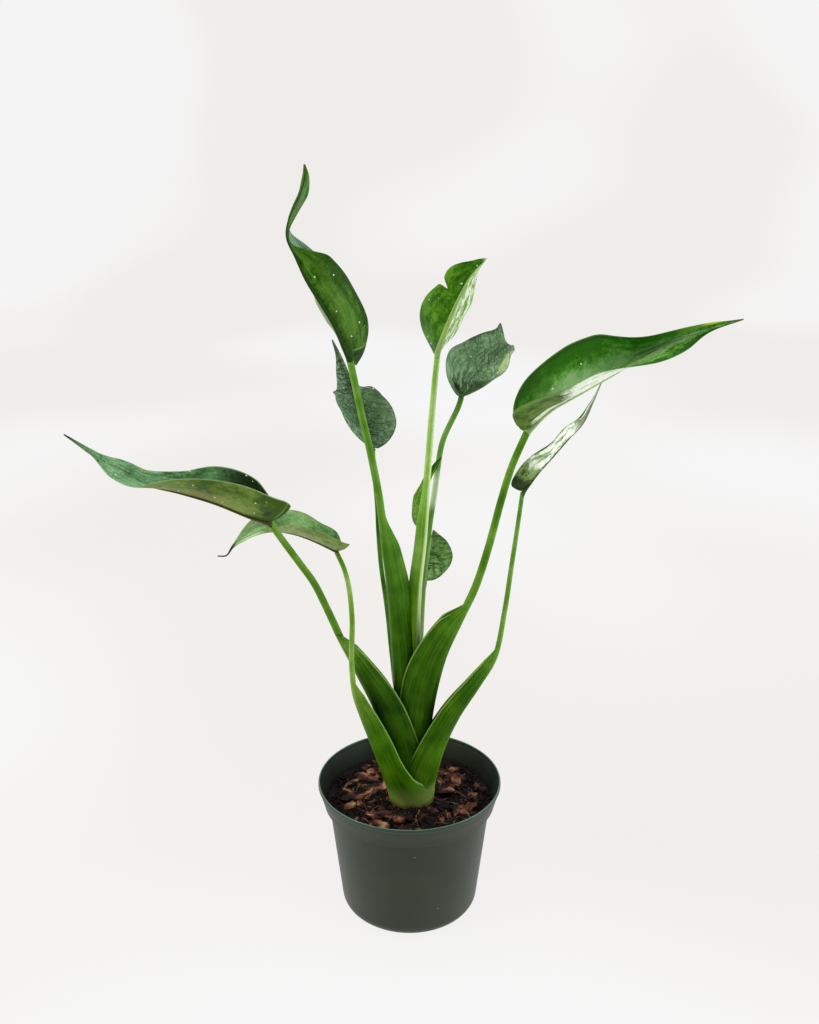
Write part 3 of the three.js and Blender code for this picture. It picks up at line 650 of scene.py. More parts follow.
def fibre(graph):
    line = graph.node("GeometryNodeCurvePrimitiveBezierSegment", None, {
        "Resolution": 7, "Start": (-0.5, 0, 0), "Start Handle": (-0.2, 0.2, 0.1), "End Handle": (0.2, -0.2, 0.5),
        "End": (0.5, 0, 0.3),
    })
    round_section = graph.node("GeometryNodeCurvePrimitiveCircle", None, {"Resolution": 4, "Radius": 0.012})
    return graph.node("GeometryNodeCurveToMesh", None, {0: line, 1: round_section, "Fill Caps": True})


def all_joined(pieces):
    """Pieces of one material as one piece, which keeps the first one's name."""
    bpy.ops.object.select_all(action="DESELECT")
    for one in pieces:
        one.select_set(True)
    bpy.context.view_layer.objects.active = pieces[0]
    bpy.ops.object.join()
    return pieces[0]


SHARD_REACH = 63
CRUMB_REACH = 67.5
FIBRE_REACH = 58

bark = bark_and_peat()
mix = all_joined([
    mix_plug(bark),
    large_chips(bark),
    strewn("bark_shards", shard, SHARD_REACH, {
        "Bits in a square metre": 17000, "Least size": (0.003, 0.002, 0.001),
        "Largest size": (0.012, 0.006, 0.0025), "Tilt": 0.5, "Roughen": 0.004, "Lump size": 0.006,
        "Palest": 0.66, "Darkest": 0.0, "Seed": 3,
    }, bark),
    strewn("bark_crumbs", crumb, CRUMB_REACH, {
        "Bits in a square metre": 300000, "Least size": (0.001, 0.0008, 0.0007),
        "Largest size": (0.0036, 0.003, 0.0022), "Tilt": 1.5, "Roughen": 0.0018, "Lump size": 0.002,
        "Palest": 0.42, "Darkest": 0.0, "Seed": 11,
    }, bark),
    strewn("coir_fibres", fibre, FIBRE_REACH, {
        "Bits in a square metre": 11000, "Least size": (0.006, 0.006, 0.004),
        "Largest size": (0.017, 0.015, 0.012), "Tilt": 0.35, "Roughen": 0.006, "Lump size": 0.012,
        "Palest": 1.1, "Darkest": 0.6, "Seed": 23,
    }, bark),
])
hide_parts("soil")
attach(mix, "root")

# Leaves: ten thick cup-folded blades with long drip tips, each on a stalk whose foot widens into a
# channelled sheath. The sheaths wrap one another at two crowns and stand in the mix. Every blade and
# stalk follows the same rule from its own row of given numbers, which the solids share.
LEAVES = [
  {
    "name": "leaf_j",
    "stalk": [[-9, -11, 86], [-11, -12, 99], [-16, -15, 120], [-26, -21, 155], [-36, -27, 188],
      [-43, -31, 215], [-45, -34, 245], [-44, -34, 278], [-46, -29, 302], [-50, -21, 316], [-56, -12, 326]],
    "radius": [2.8, 1.8], "inward": [0.85, 0.5, 0.15],
    "sheath": { "top": 0.6, "depth": [17.3, 17.3, 20, 16, 12.5, 4], "gape": [17.3, 17.3, 19, 14.5, 9.5, 3],
      "wrap": [168, 168, 168, 168, 166, 150, 116, 94, 88, 86, 88, 90, 92, 92, 90],
      "core": [1.1, 1.4, 3, 5, 5, 4] },
    "rib": [[-56, -11, 327], [-69, -7, 332], [-85, -3, 337], [-100, 0, 339], [-115, 2, 338],
      [-127, 4, 332], [-138, 6, 324], [-144, 7, 316], [-151, 8, 315]],
    "face": [0.1, -0.2, 1], "twist": [-3, -16, -21, -7],
    "left": { "reach": [20, 24, 26, 27, 22, 16, 8, 1.6, 0.4],
      "fold": [38, 48, 32, 18, 0], "curl": [40, 30, 20, 10, 0] },
    "right": { "reach": [11, 17, 19, 21, 19, 14, 8, 1.6, 0.4],
      "fold": [66, 62, 42, 20, 0], "curl": [40, 30, 20, 10, 0] },
  },
  {
    "name": "leaf_h",
    "stalk": [[16, -7, 86], [16, -8, 98], [18, -9, 115], [26, -12, 152], [38, -15, 184], [54, -15, 212],
      [68, -13, 238], [75, -6, 273], [80, 2, 308], [84, 8, 336], [88, 14, 366]],
    "radius": [2.8, 1.7], "inward": [-0.95, 0.25, 0.25],
    "sheath": { "top": 0.61, "depth": [15.6, 15.6, 16, 17, 13.5, 5], "gape": [15.6, 15.6, 14, 12, 8, 3],
      "wrap": [168, 165, 130, 104, 95, 90], "core": [1.1, 1.3, 3, 5, 5, 4] },
    "rib": [[89, 14, 367], [99, 18, 380], [112, 24, 393], [124, 30, 405], [135, 34, 416], [142, 36, 431],
      [149, 36, 450]],
    "face": [-0.6, 0.1, 0.8], "twist": [15, 28, 18, 6],
    "left": { "reach": [10, 15, 18, 15, 11, 9, 5, 2, 0.5],
      "fold": [82, 80, 76, 60, 20], "curl": [40, 30, 20, 10, 0] },
    "right": { "reach": [13, 19, 23, 20, 19, 17, 9, 4, 0.5],
      "fold": [57, 53, 50, 37, 20], "curl": [40, 30, 20, 10, 0] },
  },
  {
    "name": "leaf_i",
    "stalk": [[-6, -7, 86], [-7, -7, 98], [-8, -8, 115], [-14, -10, 149], [-25, -13, 188], [-41, -16, 227],
      [-54, -19, 257], [-64, -23, 284], [-73, -27, 307], [-84, -32, 327], [-94, -37, 345], [-103, -42, 362]],
    "radius": [3.6, 2.5], "inward": [0.95, 0.3, 0.2],
    "sheath": { "top": 0.64, "depth": [13.9, 13.9, 16, 21, 19, 6], "gape": [13.9, 13.9, 13, 12, 9, 4],
      "wrap": [168, 165, 120, 100, 95, 90], "core": [1.1, 1.3, 3.5, 6, 6, 5] },
    "rib": [[-104, -43, 363], [-119, -47, 370], [-141, -53, 382], [-165, -59, 392], [-188, -64, 400],
      [-204, -66, 411], [-221, -66, 420], [-243, -64, 437]],
    "face": [0.1, -0.1, 1], "twist": [-10, 2, -23, -33],
    "left": { "reach": [24.5, 33, 38, 35, 31, 26, 13, 1, 0.5],
      "fold": [48, 34, 28, -9, 0], "curl": [40, 30, 20, 10, 0] },
    "right": { "reach": [18, 23, 28, 27, 18, 13, 9, 5, 0.5],
      "fold": [78, 43, 19, 8, 0], "curl": [40, 30, 20, 10, 0] },
  },
  {
    "name": "leaf_g",
    "stalk": [[12, -7, 86], [12, -6, 98], [12, -6, 115], [13, -5, 152], [17, -7, 191], [26, -11, 235],
      [39, -15, 270], [51, -18, 300], [60, -22, 334], [68, -28, 373], [75, -34, 403], [85, -40, 432]],
    "radius": [3.8, 2.6], "inward": [-0.95, 0.3, 0.2],
    "sheath": { "top": 0.59, "depth": [12.3, 12.3, 14.5, 20, 25, 11], "gape": [12.3, 12.3, 12, 12, 10, 5],
      "wrap": [168, 160, 120, 100, 95, 90], "core": [1.1, 1.3, 3.5, 6, 7, 5] },
    "rib": [[86, -40, 433], [100, -44, 449], [119, -48, 462], [142, -52, 477], [164, -54, 491],
      [182, -54, 501], [203, -52, 508], [231, -50, 516]],
    "face": [-0.1, -0.2, 1], "twist": [21, 25, 64, 57],
    "left": { "reach": [4, 14, 25, 31, 34, 36, 36, 34, 31, 25, 19, 14, 10, 8, 6, 3, 0.5],
      "fold": [-2, 12, 29, 24, 0], "curl": [30, 30, 20, 10, 0] },
    "right": { "reach": [12, 27, 31, 33, 33, 25, 14, 3, 0.5],
      "fold": [68, 43, 56, 25, 0], "curl": [40, 30, 20, 10, 0] },
  },
  {
    "name": "leaf_a",
    "stalk": [[-1, -9, 86], [-1, -9, 98], [-6, -4, 184], [-10, -7, 240], [-14, -11, 294], [-19, -17, 339],
      [-23, -23, 377], [-29, -31, 415], [-35, -39, 447], [-41.5, -51, 487]],
    "radius": [3.8, 2.5], "inward": [0.6, 0.8, 0],
    "sheath": { "top": 0.7, "depth": [10.6, 10.6, 11, 13, 17, 8], "gape": [10.6, 10.6, 11, 11, 9, 5],
      "wrap": [168, 160, 120, 100, 95, 90], "core": [1.1, 1.3, 3.5, 6, 6, 5] },
    "rib": [[-41.8, -51, 488], [-45, -53, 496], [-51, -58, 513], [-60, -62, 530], [-69, -65, 546],
      [-76, -66, 562], [-81, -66, 573], [-81, -64, 582], [-77, -62, 593], [-72, -62, 603],
      [-69, -62, 613], [-69, -60, 621]],
    "face": [0.5, 0.85, 0.1], "twist": [26, -6, 5, 38],
    "left": { "reach": [5.5, 20, 26, 27.5, 27.5, 27.5, 27, 26, 24.5, 21.5, 12, 2, 1.5, 5, 8, 5, 0.5],
      "fold": [38, 44, 36, 43, 20], "curl": [40, 40, 40, 20, 10], "lobe": 6 },
    "right": { "reach": [14, 22, 26, 29, 30, 31, 31, 30, 28, 26, 21, 15, 10, 3, 2, 3, 0.5],
      "fold": [75, 0, 45, 44, 30], "curl": [50, 150, 90, 30, 10], "lobe": 3 },
  },
  {
    "name": "leaf_b",
    "stalk": [[5, -8, 86], [5, -8, 98], [3.5, -1, 183], [3.5, -2, 238], [5.5, -4, 291], [9.3, -7, 330],
      [12, -11, 369], [14.3, -15, 403], [17, -21, 447], [20, -26, 484]],
    "radius": [4.6, 2.1], "inward": [-0.3, 0.95, 0],
    "sheath": { "top": 0.76, "depth": [8.9, 8.9, 9, 10, 8, 5], "gape": [8.9, 8.9, 8, 7, 5.6, 4],
      "wrap": [165, 150, 105, 95, 90, 90], "core": [1.1, 1.3, 3.5, 5, 6, 5] },
    "rib": [[20, -26, 486], [25, -28, 502], [31, -31, 519], [37, -34, 533], [43, -36, 544], [53, -38, 556]],
    "face": [-0.4, 0.85, 0.1], "twist": [-36, -19, -7, 6],
    "left": { "reach": [18, 24, 27, 26, 24, 19, 12, 5, 0.5],
      "fold": [78, 44, 25, 21, 20], "curl": [20, 30, 30, 20, 10] },
    "right": { "reach": [17, 21, 25, 28, 29, 29, 28, 26, 23, 20, 18, 18.5, 16.5, 12.5, 8, 4.5, 0.5],
      "fold": [57, 30, 23, 20, 20], "curl": [20, 30, 30, 20, 10],
      "nick": { "at": 0.615, "depth": 7, "width": 0.018 } },
  },
  {
    "name": "leaf_e",
    "stalk": [[4, -5, 86], [4, -5, 98], [5, 3, 181], [4, 4, 235], [4, 4, 279], [5, 2, 312], [8, -2.3, 342]],
    "radius": [2.4, 1.8], "inward": [-0.3, 0.9, 0],
    "sheath": { "top": 0.5, "depth": [4.8, 4.8, 5, 5, 4, 3], "gape": [4.8, 4.8, 4, 4, 4, 3],
      "wrap": [150, 140, 100, 90, 90, 90], "core": [1.1, 1.3, 3, 3, 3, 3] },
    "rib": [[8, -2, 343], [10, 0, 356], [12.4, 2, 369], [16.8, 3, 383], [24, 4, 398]],
    "face": [-0.4, 0.85, 0.1], "twist": [-31, -24, -20, -10],
    "left": { "reach": [9, 9, 8, 5, 3, 1.6, 1.6, 2, 0.5],
      "fold": [56, 57, 41, 30, 20], "curl": [20, 30, 30, 20, 10] },
    "right": { "reach": [11, 17, 18, 15, 12, 8, 5, 3.5, 0.5],
      "fold": [62, 45, 36, 27, 20], "curl": [20, 30, 30, 20, 10] },
  },
  {
    "name": "leaf_d",
    "stalk": [[-1, 34, 86], [-1, 34, 98], [-8, 31, 165], [-14, 31, 212], [-18, 32, 255], [-23, 33, 296],
      [-25, 35, 324], [-26, 38, 347], [-28, 41, 371], [-29, 44, 392]],
    "radius": [2.4, 1.6], "inward": [0.5, -0.85, 0],
    "sheath": { "top": 0.42, "depth": [8.9, 8.9, 9, 8, 7, 4], "gape": [8.9, 8.9, 8, 6, 5, 3],
      "wrap": [160, 150, 110, 95, 90, 90], "core": [1.1, 1.3, 3, 4, 4, 3] },
    "rib": [[-29, 44, 393], [-33, 52, 405], [-39, 62, 419], [-46, 70, 435], [-54, 72, 454], [-61, 70, 474]],
    "face": [0, -0.7, 0.7], "twist": [23, 2, -16, -17],
    "left": { "reach": [11, 26, 30, 26, 23, 16, 9, 3, 0.5],
      "fold": [45, 30, 29, 23, 10], "curl": [20, 20, 20, 20, 10],
      "nick": { "at": 0.56, "depth": -3, "width": 0.02 } },
    "right": { "reach": [6, 17, 25, 30, 31, 30.5, 29, 28, 24, 14, 8.5, 6, 5, 4, 3, 2, 0.5],
      "fold": [57, 47, 46, 32, 10], "curl": [20, 20, 20, 20, 10] },
  },
  {
    "name": "leaf_c",
    "stalk": [[3, 32, 86], [3, 32, 98], [5, 32, 164], [7, 33, 220], [9.3, 34, 273], [13, 36, 309],
      [19.6, 41, 353], [23, 46, 379], [27, 51, 398], [38, 57, 421], [41, 60, 429]],
    "radius": [2.8, 2.2], "inward": [-0.3, -0.9, 0],
    "sheath": { "top": 0.72, "depth": [7.2, 7.2, 7, 7, 6, 4], "gape": [7.2, 7.2, 6, 5, 5, 4],
      "wrap": [160, 150, 110, 95, 90, 90], "core": [1.1, 1.3, 3, 4, 4, 4] },
    "rib": [[41, 60, 430], [48, 72, 438], [60, 90, 445], [71, 108, 451], [80, 124, 455], [86, 137, 452],
      [89.3, 146, 448]],
    "face": [-0.1, -0.5, 0.8], "twist": [22, 13, 26, 33],
    "left": { "reach": [12, 17, 22, 27, 30, 31.5, 32, 31, 30, 29, 28.5, 28, 27, 26, 24.8, 23.3, 22, 21.5,
        23, 8.5, 4, 3, 3, 2, 0.5],
      "fold": [41, 23, 27, 26, 10], "curl": [20, 20, 20, 20, 10] },
    "right": { "reach": [10, 25, 28, 26, 23.5, 19, 11.5, 3, 0.5],
      "fold": [50, 18, 25, 36, 20], "curl": [40, 42, 48, 32, 10] },
  },
  {
    "name": "leaf_f",
    "stalk": [[2, 30, 86], [2, 30, 98], [3, 36, 162], [5, 42, 206], [8, 48, 241], [13, 54, 272]],
    "radius": [2.2, 1.6], "inward": [-0.1, -0.9, 0],
    "sheath": { "top": 0.5, "depth": [4.9, 4.9, 5, 5, 4, 3], "gape": [4.9, 4.9, 4, 4, 4, 3],
      "wrap": [150, 140, 100, 90, 90, 90], "core": [1.1, 1.3, 3, 3, 3, 3] },
    "rib": [[13, 54, 274], [15, 60, 282], [17, 66, 291], [20, 70, 301], [20, 72, 312]],
    "face": [0, -0.8, 0.6], "twist": [-4, 5, 10, 12],
    "left": { "reach": [8, 10, 12, 13, 12, 10, 7, 3, 0.5],
      "fold": [21, 21, 19, 16, 10], "curl": [20, 20, 20, 20, 10] },
    "right": { "reach": [15, 21, 23, 22, 21, 18, 13, 6, 0.5],
      "fold": [69, 25, 8, 8, 10], "curl": [10, 20, 20, 20, 10] },
  },
]

LOBE_SPAN = 0.2
VEIN_LEAN = [-60, -30, 0, 15, 22, 28, 32, 36, 40]
ROW_CROWDING = 1.3
LEAST_REACH = 0.4
BLADE_THICKNESS = 0.8
WING_THICKNESS = 0.9
CLOSING = 0.85


def along(values, share):
    """Value of a list of numbers at shares of its length, on a smooth curve through them."""
    share = np.asarray(share, float)
    ends = np.array([2 * values[0] - values[1], *values, 2 * values[-1] - values[-2]], float)
    place = share * (len(values) - 1)
    first = np.minimum(place.astype(int), len(values) - 2)
    t = place - first
    before, start, end, after = (ends[first + k] for k in range(4))
    leave, arrive = (end - before) / 2, (after - start) / 2
    cubic = 2 * (start - end) + leave + arrive
    square = 3 * (end - start) - 2 * leave - arrive
    return cubic * t**3 + square * t**2 + leave * t + start


def unit(vectors):
    return vectors / np.linalg.norm(vectors, axis=-1, keepdims=True)


class Path:
    """A smooth curve through points, read by the share of its length."""

    def __init__(self, points):
        steps = np.linspace(0, 1, 40 * (len(points) - 1) + 1)
        self.points = np.stack([along([p[axis] for p in points], steps) for axis in range(3)], -1)
        step = np.linalg.norm(np.diff(self.points, axis=0), axis=1)
        self.lengths = np.concatenate([[0], np.cumsum(step)])
        self.length = self.lengths[-1]

    def at(self, share):
        place = np.asarray(share) * self.length
        return np.stack([np.interp(place, self.lengths, self.points[:, axis]) for axis in range(3)], -1)

    def way(self, share):
        share = np.asarray(share)
        return unit(self.at(np.minimum(share + 0.004, 1)) - self.at(np.maximum(share - 0.004, 0)))


def frames_on(path, share, upward, twist):
    """Points and axes on a path: forward, up as near as can be to the given way, and side."""
    forward = path.way(share)
    upward = np.asarray(upward, float)
    up = unit(upward - forward * (forward @ upward)[:, None])
    turn = np.radians(twist)[:, None] * np.ones((1, 3))
    up = up * np.cos(turn) + np.cross(forward, up) * np.sin(turn)
    return path.at(share), forward, up, np.cross(forward, up)


def leaf_mesh(name, rings, uv, under, material):
    """A closed skin round a grid of rings, with a UV map and how much each point faces down."""
    rows, count = rings.shape[:2]
    faces = []
    for r in range(rows - 1):
        for c in range(count):
            d = (c + 1) % count
            faces.append((r * count + c, r * count + d, (r + 1) * count + d, (r + 1) * count + c))
    last = (rows - 1) * count
    faces.append(tuple(range(count - 1, -1, -1)))
    faces.append(tuple(range(last, last + count)))
    made = piece(name, rings.reshape(-1, 3), faces, material)
    mesh = made.data
    layer = mesh.uv_layers.new(name="UVMap")
    corners = np.zeros(len(mesh.loops), int)
    mesh.loops.foreach_get("vertex_index", corners)
    layer.data.foreach_set("uv", uv.reshape(-1, 2)[corners].ravel())
    mark = mesh.attributes.new("under", "FLOAT", "POINT")
    mark.data.foreach_set("value", under.ravel())
    return made


BLADE_ROWS = 120
EDGE_FROM = 0.92
EDGE_COLUMNS = [0.96, 0.985, 0.996, 1]
BLADE_COLUMNS = [*np.linspace(0, EDGE_FROM, 21)[1:], *EDGE_COLUMNS]
VEINS = 9
VEIN_SWEEP = 0.05
QUILT = 0.55
RIPPLE = 0.5
RIPPLE_WAVES = 3.5


def blade_sheet(leaf, veins, columns):
    """The middle surface of a blade and its normals, from its left edge over the rib to its right."""
    share = veins**ROW_CROWDING
    at, forward, up, side = frames_on(Path(leaf["rib"]), share, leaf["face"], along(leaf["twist"], share))
    lean = np.radians(along(VEIN_LEAN, veins))
    halves = []
    for half, way in ((leaf["left"], -1), (leaf["right"], 1)):
        reach = along(half["reach"], veins)
        if "nick" in half:
            nick = half["nick"]
            reach = reach - nick["depth"] * np.exp(-(((veins - nick["at"]) / nick["width"]) ** 2))
        reach = np.maximum(LEAST_REACH, reach)
        fold = np.radians(along(half["fold"], share))
        curl = np.radians(np.maximum(1, along(half["curl"], share)))
        bend = fold[:, None] + curl[:, None] * columns
        across = (reach / curl)[:, None] * (np.sin(bend) - np.sin(fold)[:, None])
        rise = (reach / curl)[:, None] * (np.cos(fold)[:, None] - np.cos(bend))
        lobe = half.get("lobe", 0) * np.maximum(0, 1 - veins / LOBE_SPAN) ** 2
        run = across * np.sin(lean)[:, None] - lobe[:, None] * columns**2
        spread = way * across * np.cos(lean)[:, None]
        halves.append(sum(a[:, None] * b[..., None] for a, b in ((forward, run), (up, rise), (side, spread))))
    left, right = halves
    sheet = at[:, None] + np.concatenate([left[:, ::-1], np.zeros((len(veins), 1, 3)), right], 1)
    return sheet, unit(np.cross(np.gradient(sheet, axis=1), np.gradient(sheet, axis=0)))


def blade(leaf, material):
    """A blade: a quilted sheet with a thinner rounded edge that waves a little, on a tapering midrib."""
    veins = np.linspace(0, 1, BLADE_ROWS + 1)
    columns = np.array(BLADE_COLUMNS)
    sheet, normal = blade_sheet(leaf, veins, columns)
    side = np.concatenate([-columns[::-1], [0], columns])
    q = np.abs(side)
    row, fade = veins[:, None], np.minimum(1, 4 * (1 - veins))[:, None]
    between = np.abs((row - VEIN_SWEEP * q**2) * VEINS % 1 - 0.5) * 2
    quilt = QUILT * fade * (np.minimum(1, 5 * q) - q**4) * np.sqrt(between)
    phase = 1.7 * len(leaf["rib"]) + 2.5 * (side > 0)
    ripple = RIPPLE * fade * q**3 * np.sin(2 * math.pi * (RIPPLE_WAVES * row + 0.3 * phase))
    sheet = sheet + normal * (quilt + ripple)[..., None]
    edge = np.clip((q - EDGE_FROM) / (1 - EDGE_FROM), 0, 1)
    half = (BLADE_THICKNESS / 2) * np.sqrt(np.maximum(1 - edge**2, 0)) * np.ones_like(row)
    top, bottom = sheet + normal * half[..., None], sheet - normal * half[..., None]
    rings = np.concatenate([top, bottom[:, -2:0:-1]], 1)
    spots = np.stack(np.broadcast_arrays((side + 1) / 2, row), -1)
    uv = np.concatenate([spots, spots[:, -2:0:-1]], 1)
    under = np.zeros(rings.shape[:2])
    under[:, len(side) :] = 1
    return leaf_mesh(leaf["name"] + "_blade", rings, uv, under, material)


RIB_SIDES = 14
RIB_STEPS = 90
RIB_ROOT = 4
RIB_NECK = 0.035


def midrib(leaf, material):
    """The midrib: a tapering cord under the fold that grows out of the stalk's end."""
    share = np.linspace(0, 0.985, RIB_STEPS)
    at, forward, up, side = frames_on(Path(leaf["rib"]), share, leaf["face"], along(leaf["twist"], share))
    slim = leaf["look"]["rib_size"]
    radius = leaf["radius"][1] * (slim * (1 - share) ** 0.9 + (1 - slim) * np.exp(-share / RIB_NECK)) + 0.15
    sink = radius * np.minimum(1, share * 12) * 0.8
    turn = np.arange(RIB_SIDES) * 2 * math.pi / RIB_SIDES
    center = at - up * sink[:, None]
    ring = side[:, None] * np.cos(turn)[:, None] + up[:, None] * np.sin(turn)[:, None]
    rings = center[:, None] + ring * radius[:, None, None]
    petiole = Path(leaf["stalk"])
    back = petiole.at(1) - petiole.way(1) * RIB_ROOT
    root = back + ring[:1] * leaf["radius"][1] * 0.9
    rings = np.concatenate([root, rings])[:, ::-1]
    uv = np.full((*rings.shape[:2], 2), 0.5)
    uv[..., 1] = np.concatenate([[0], share ** (1 / ROW_CROWDING)])[:, None]
    return leaf_mesh(leaf["name"] + "_midrib", rings, uv, np.ones(rings.shape[:2]), material)


STALK_STEPS = 130
HALF_RING = 25


def stalk_section(leaf, share, q, inner):
    """Up and side distances of a stalk's skin from its path, at places q from wing to wing."""
    sheath = leaf["sheath"]
    height = np.minimum(1, share / sheath["top"])
    depth, gape, wrap, core = (along(sheath[k], np.sqrt(height))[:, None] for k in ("depth", "gape", "wrap", "core"))
    radius = (leaf["radius"][0] + (leaf["radius"][1] - leaf["radius"][0]) * share)[:, None]
    fade = np.clip((height - CLOSING) / (1 - CLOSING), 0, 1)
    opened = (1 - fade * fade * (3 - 2 * fade))[:, None]
    quarter = (math.pi / 2) * q
    closed = np.stack([radius * np.cos(quarter) * (1 if inner else -1), radius * np.sin(quarter)], -1)
    angle = np.radians(wrap) * q
    wall = WING_THICKNESS + (core - WING_THICKNESS) * np.cos(quarter) ** 1.5 if inner else 0
    channel = np.stack([depth - radius - (depth - wall) * np.cos(angle), (gape - wall) * np.sin(angle)], -1)
    return closed + (channel - closed) * opened[..., None]


def stalk(leaf, material):
    """A stalk: a round petiole whose foot opens into a sheath with thin rounded edges."""
    share = np.linspace(0, 1, STALK_STEPS + 1)
    path = Path(leaf["stalk"])
    at, forward, up, side = frames_on(path, share, leaf["inward"], np.zeros(len(share)))
    q = np.linspace(-1, 1, HALF_RING)
    outer = stalk_section(leaf, share, q, False)
    inner = stalk_section(leaf, share, q * 0.97, True)[:, ::-1]
    spots = np.stack([(q + 1) / 2, np.zeros_like(q)], -1)

    def wing(end, near, far):
        middle = (end + far) / 2
        return (middle + unit(end - near) * np.linalg.norm(end - far, axis=-1, keepdims=True) / 2)[:, None]

    right = wing(outer[:, -1], outer[:, -2], inner[:, 0])
    left = wing(outer[:, 0], outer[:, 1], inner[:, -1])
    ring = np.concatenate([outer, right, inner, left], 1)
    rings = at[:, None] + up[:, None] * ring[..., :1] + side[:, None] * ring[..., 1:]
    around = np.concatenate([(q + 1) / 2, [1], (q[::-1] + 1) / 2, [0]])
    uv = np.stack(np.broadcast_arrays(around, share[:, None] * path.length / 400), -1)
    under = np.concatenate([np.zeros(HALF_RING), [0.5], np.ones(HALF_RING), [0.5]]) * np.ones((len(share), 1))
    return leaf_mesh(leaf["name"] + "_stalk", rings[:, ::-1], uv[:, ::-1], under[:, ::-1], material)


SHADE_PLACES = (0.42, 0.5, 0.59)
BLISTER = (12, 22, 1)
STREAK = (14, 12, 1)
RIB_LINE = 0.6
PUCKER = 0.35
FRAY_SCALE = 160
PATCH_FRAY = 0.2
PATCH_SOFTNESS = 0.05
DROP_GLINT_COLOR = (232, 242, 226)
CREASE_HIGHLIGHT_COLOR = (160, 192, 120)


def skin_tone(finish, shades, tone):
    """One of three greens, from the darkest to the palest."""
    stops = [(place, rgb(*shade)) for place, shade in zip(SHADE_PLACES, shades)]
    return finish.node("ShaderNodeValToRGB", {"stops": stops}, {"Fac": tone}, "Color")


def window(finish, value, low, high, soft):
    """1 between two limits and 0 beyond them, with a soft change over each."""
    return finish.ease(value, low - soft, low + soft) * finish.ease(value, high + soft, high - soft)


def leaf_tissue(leaf):
    """Blade tissue: blistered skin in three greens a side, veins, wrinkles and the leaf's patches, with painted
    sheen, shade and highlights.
    """
    look = leaf["look"]
    finish = Finish(leaf["name"] + "_tissue")
    place, spread = finish.coordinates(), finish.coordinates("UV")
    left_right, vein, _ = finish.parts(spread)
    side = left_right * 2 - 1
    across = side.math("ABSOLUTE", side)
    under, wet = finish.attribute("under"), finish.attribute("dew")
    cloud = finish.noise(place, 30, 3)
    mottle = finish.noise(place, 520, 4, 0.7)
    blister = finish.noise(finish.stretch(spread, look.get("blister", BLISTER)), 1, 3, 0.6)
    lanes = (vein - across * across * VEIN_SWEEP) * VEINS
    off_vein = side.math("ABSOLUTE", side.math("FRACT", lanes) - 0.5)
    vein_line = 1 - finish.ease(off_vein, 0.0, 0.12)
    tone = cloud * 0.4 + mottle * 0.25 + blister * 0.35 - vein_line * 0.025
    # painted shade: darker towards the blade's base, where the lobes fold together
    tone = tone - finish.ease(vein, 0.3, 0.0) * look.get("painted_base_shade", 0)
    # painted light and shade: each half's underside lighter in its middle and darker at the rib and margin, by the
    # look's cup; and a painted sheen, by the look's sheen, that pales the top towards the rib
    middle = across * (1 - across) * 4 - 0.6
    top_tone = tone + (0.5 - across) * look.get("sheen", 0) * 0.3
    top = skin_tone(finish, look["top"], top_tone)
    below = skin_tone(finish, look["under"], tone + middle * look.get("cup", 0) * 0.08)
    color = finish.blend(under, top, below)
    fold = 1
    # wrinkles: a bump, with painted shade darkening their creases
    if "wrinkle" in look:
        stretch, shade = look["wrinkle"]
        ridge = finish.noise(finish.stretch(place, stretch), 1, 2, 0.5) - 0.5
        fold = finish.ease(ridge.math("ABSOLUTE", ridge), 0.0, 0.05)
        mask = finish.ease(cloud, 0.42, 0.56)
        color = finish.blend((1 - fold) * mask * 0.8, color, rgb(*shade))
    drift = (finish.noise(place, FRAY_SCALE, 4, 0.7) - 0.5) * 0.5
    streak = finish.noise(finish.stretch(spread, look.get("streak", STREAK)), 1, 4, 0.7)
    # patches: the leaf's own marks, and painted highlights and painted shade where the looks mark them
    for half, near, far, start, end, shade, amount, extra in look.get("patches", []):
        stray = drift * extra.get("ragged", PATCH_FRAY)
        soft = extra.get("soft", PATCH_SOFTNESS)
        part = window(finish, side * half + stray, near, far, soft)
        part = part * window(finish, vein + stray * 0.6, start, end, soft * 0.7)
        if "fleck" in extra:
            part = part * finish.ease(streak, *extra["fleck"])
        if "on" in extra:
            part = part * (under if extra["on"] == "under" else 1 - under)
        color = finish.blend(part * amount, color, rgb(*shade))
    # painted highlight: a pale line along a crease near the blade's base
    if "crease_highlight_at" in look:
        depth = vein - across * across * 0.02 + cloud * 0.03
        crease = 1 - finish.ease(side.math("ABSOLUTE", depth - look["crease_highlight_at"]), 0.001, 0.007)
        color = finish.blend(crease * finish.ease(across, 0.2, 0.4) * 0.5, color, rgb(*CREASE_HIGHLIGHT_COLOR))
    rib = (1 - finish.ease(across, 0.012, 0.035)) * look.get("rib_line", RIB_LINE)
    color = finish.blend(rib, color, rgb(*look["rib"]))
    margin = finish.ease(across, 0.965, 0.99)
    color = finish.blend(margin * 0.6, color, rgb(*look["margin"]))
    tip = finish.ease(vein + mottle * 0.03, look["tip_from"], look["tip_from"] + 0.05)
    color = finish.blend(tip, color, rgb(*look["tip"]))
    # painted glint: the drops are coloured pale
    color = finish.blend(wet, color, rgb(*DROP_GLINT_COLOR))
    rough = (0.44 + mottle * 0.16) * (1 - wet * 0.7)
    grain = finish.bump(mottle, 0.0003, 0.35)
    height = finish.bump(blister * fold, 0.002, look.get("pucker", PUCKER), grain)
    return finish.set(
        Base_Color=color, Roughness=rough, Specular_IOR_Level=0.2, Specular_Tint=(0.75, 1.0, 0.45), Normal=height,
    )


FOOT_SPAN = (0.134, 0.112)
SCAR_SPAN = (0.1115, 0.1085)
FOOT_GLOW = 0.75
FOOT_COLOR = (176, 198, 108)
SCAR_COLOR = (124, 92, 52)
INNER_COLOR = (12, 44, 0)
EDGE_COLOR = (150, 190, 100)
STRIPE_HIGHLIGHT_COLOR = (214, 238, 170)
NODE_COLOR = (30, 66, 20)


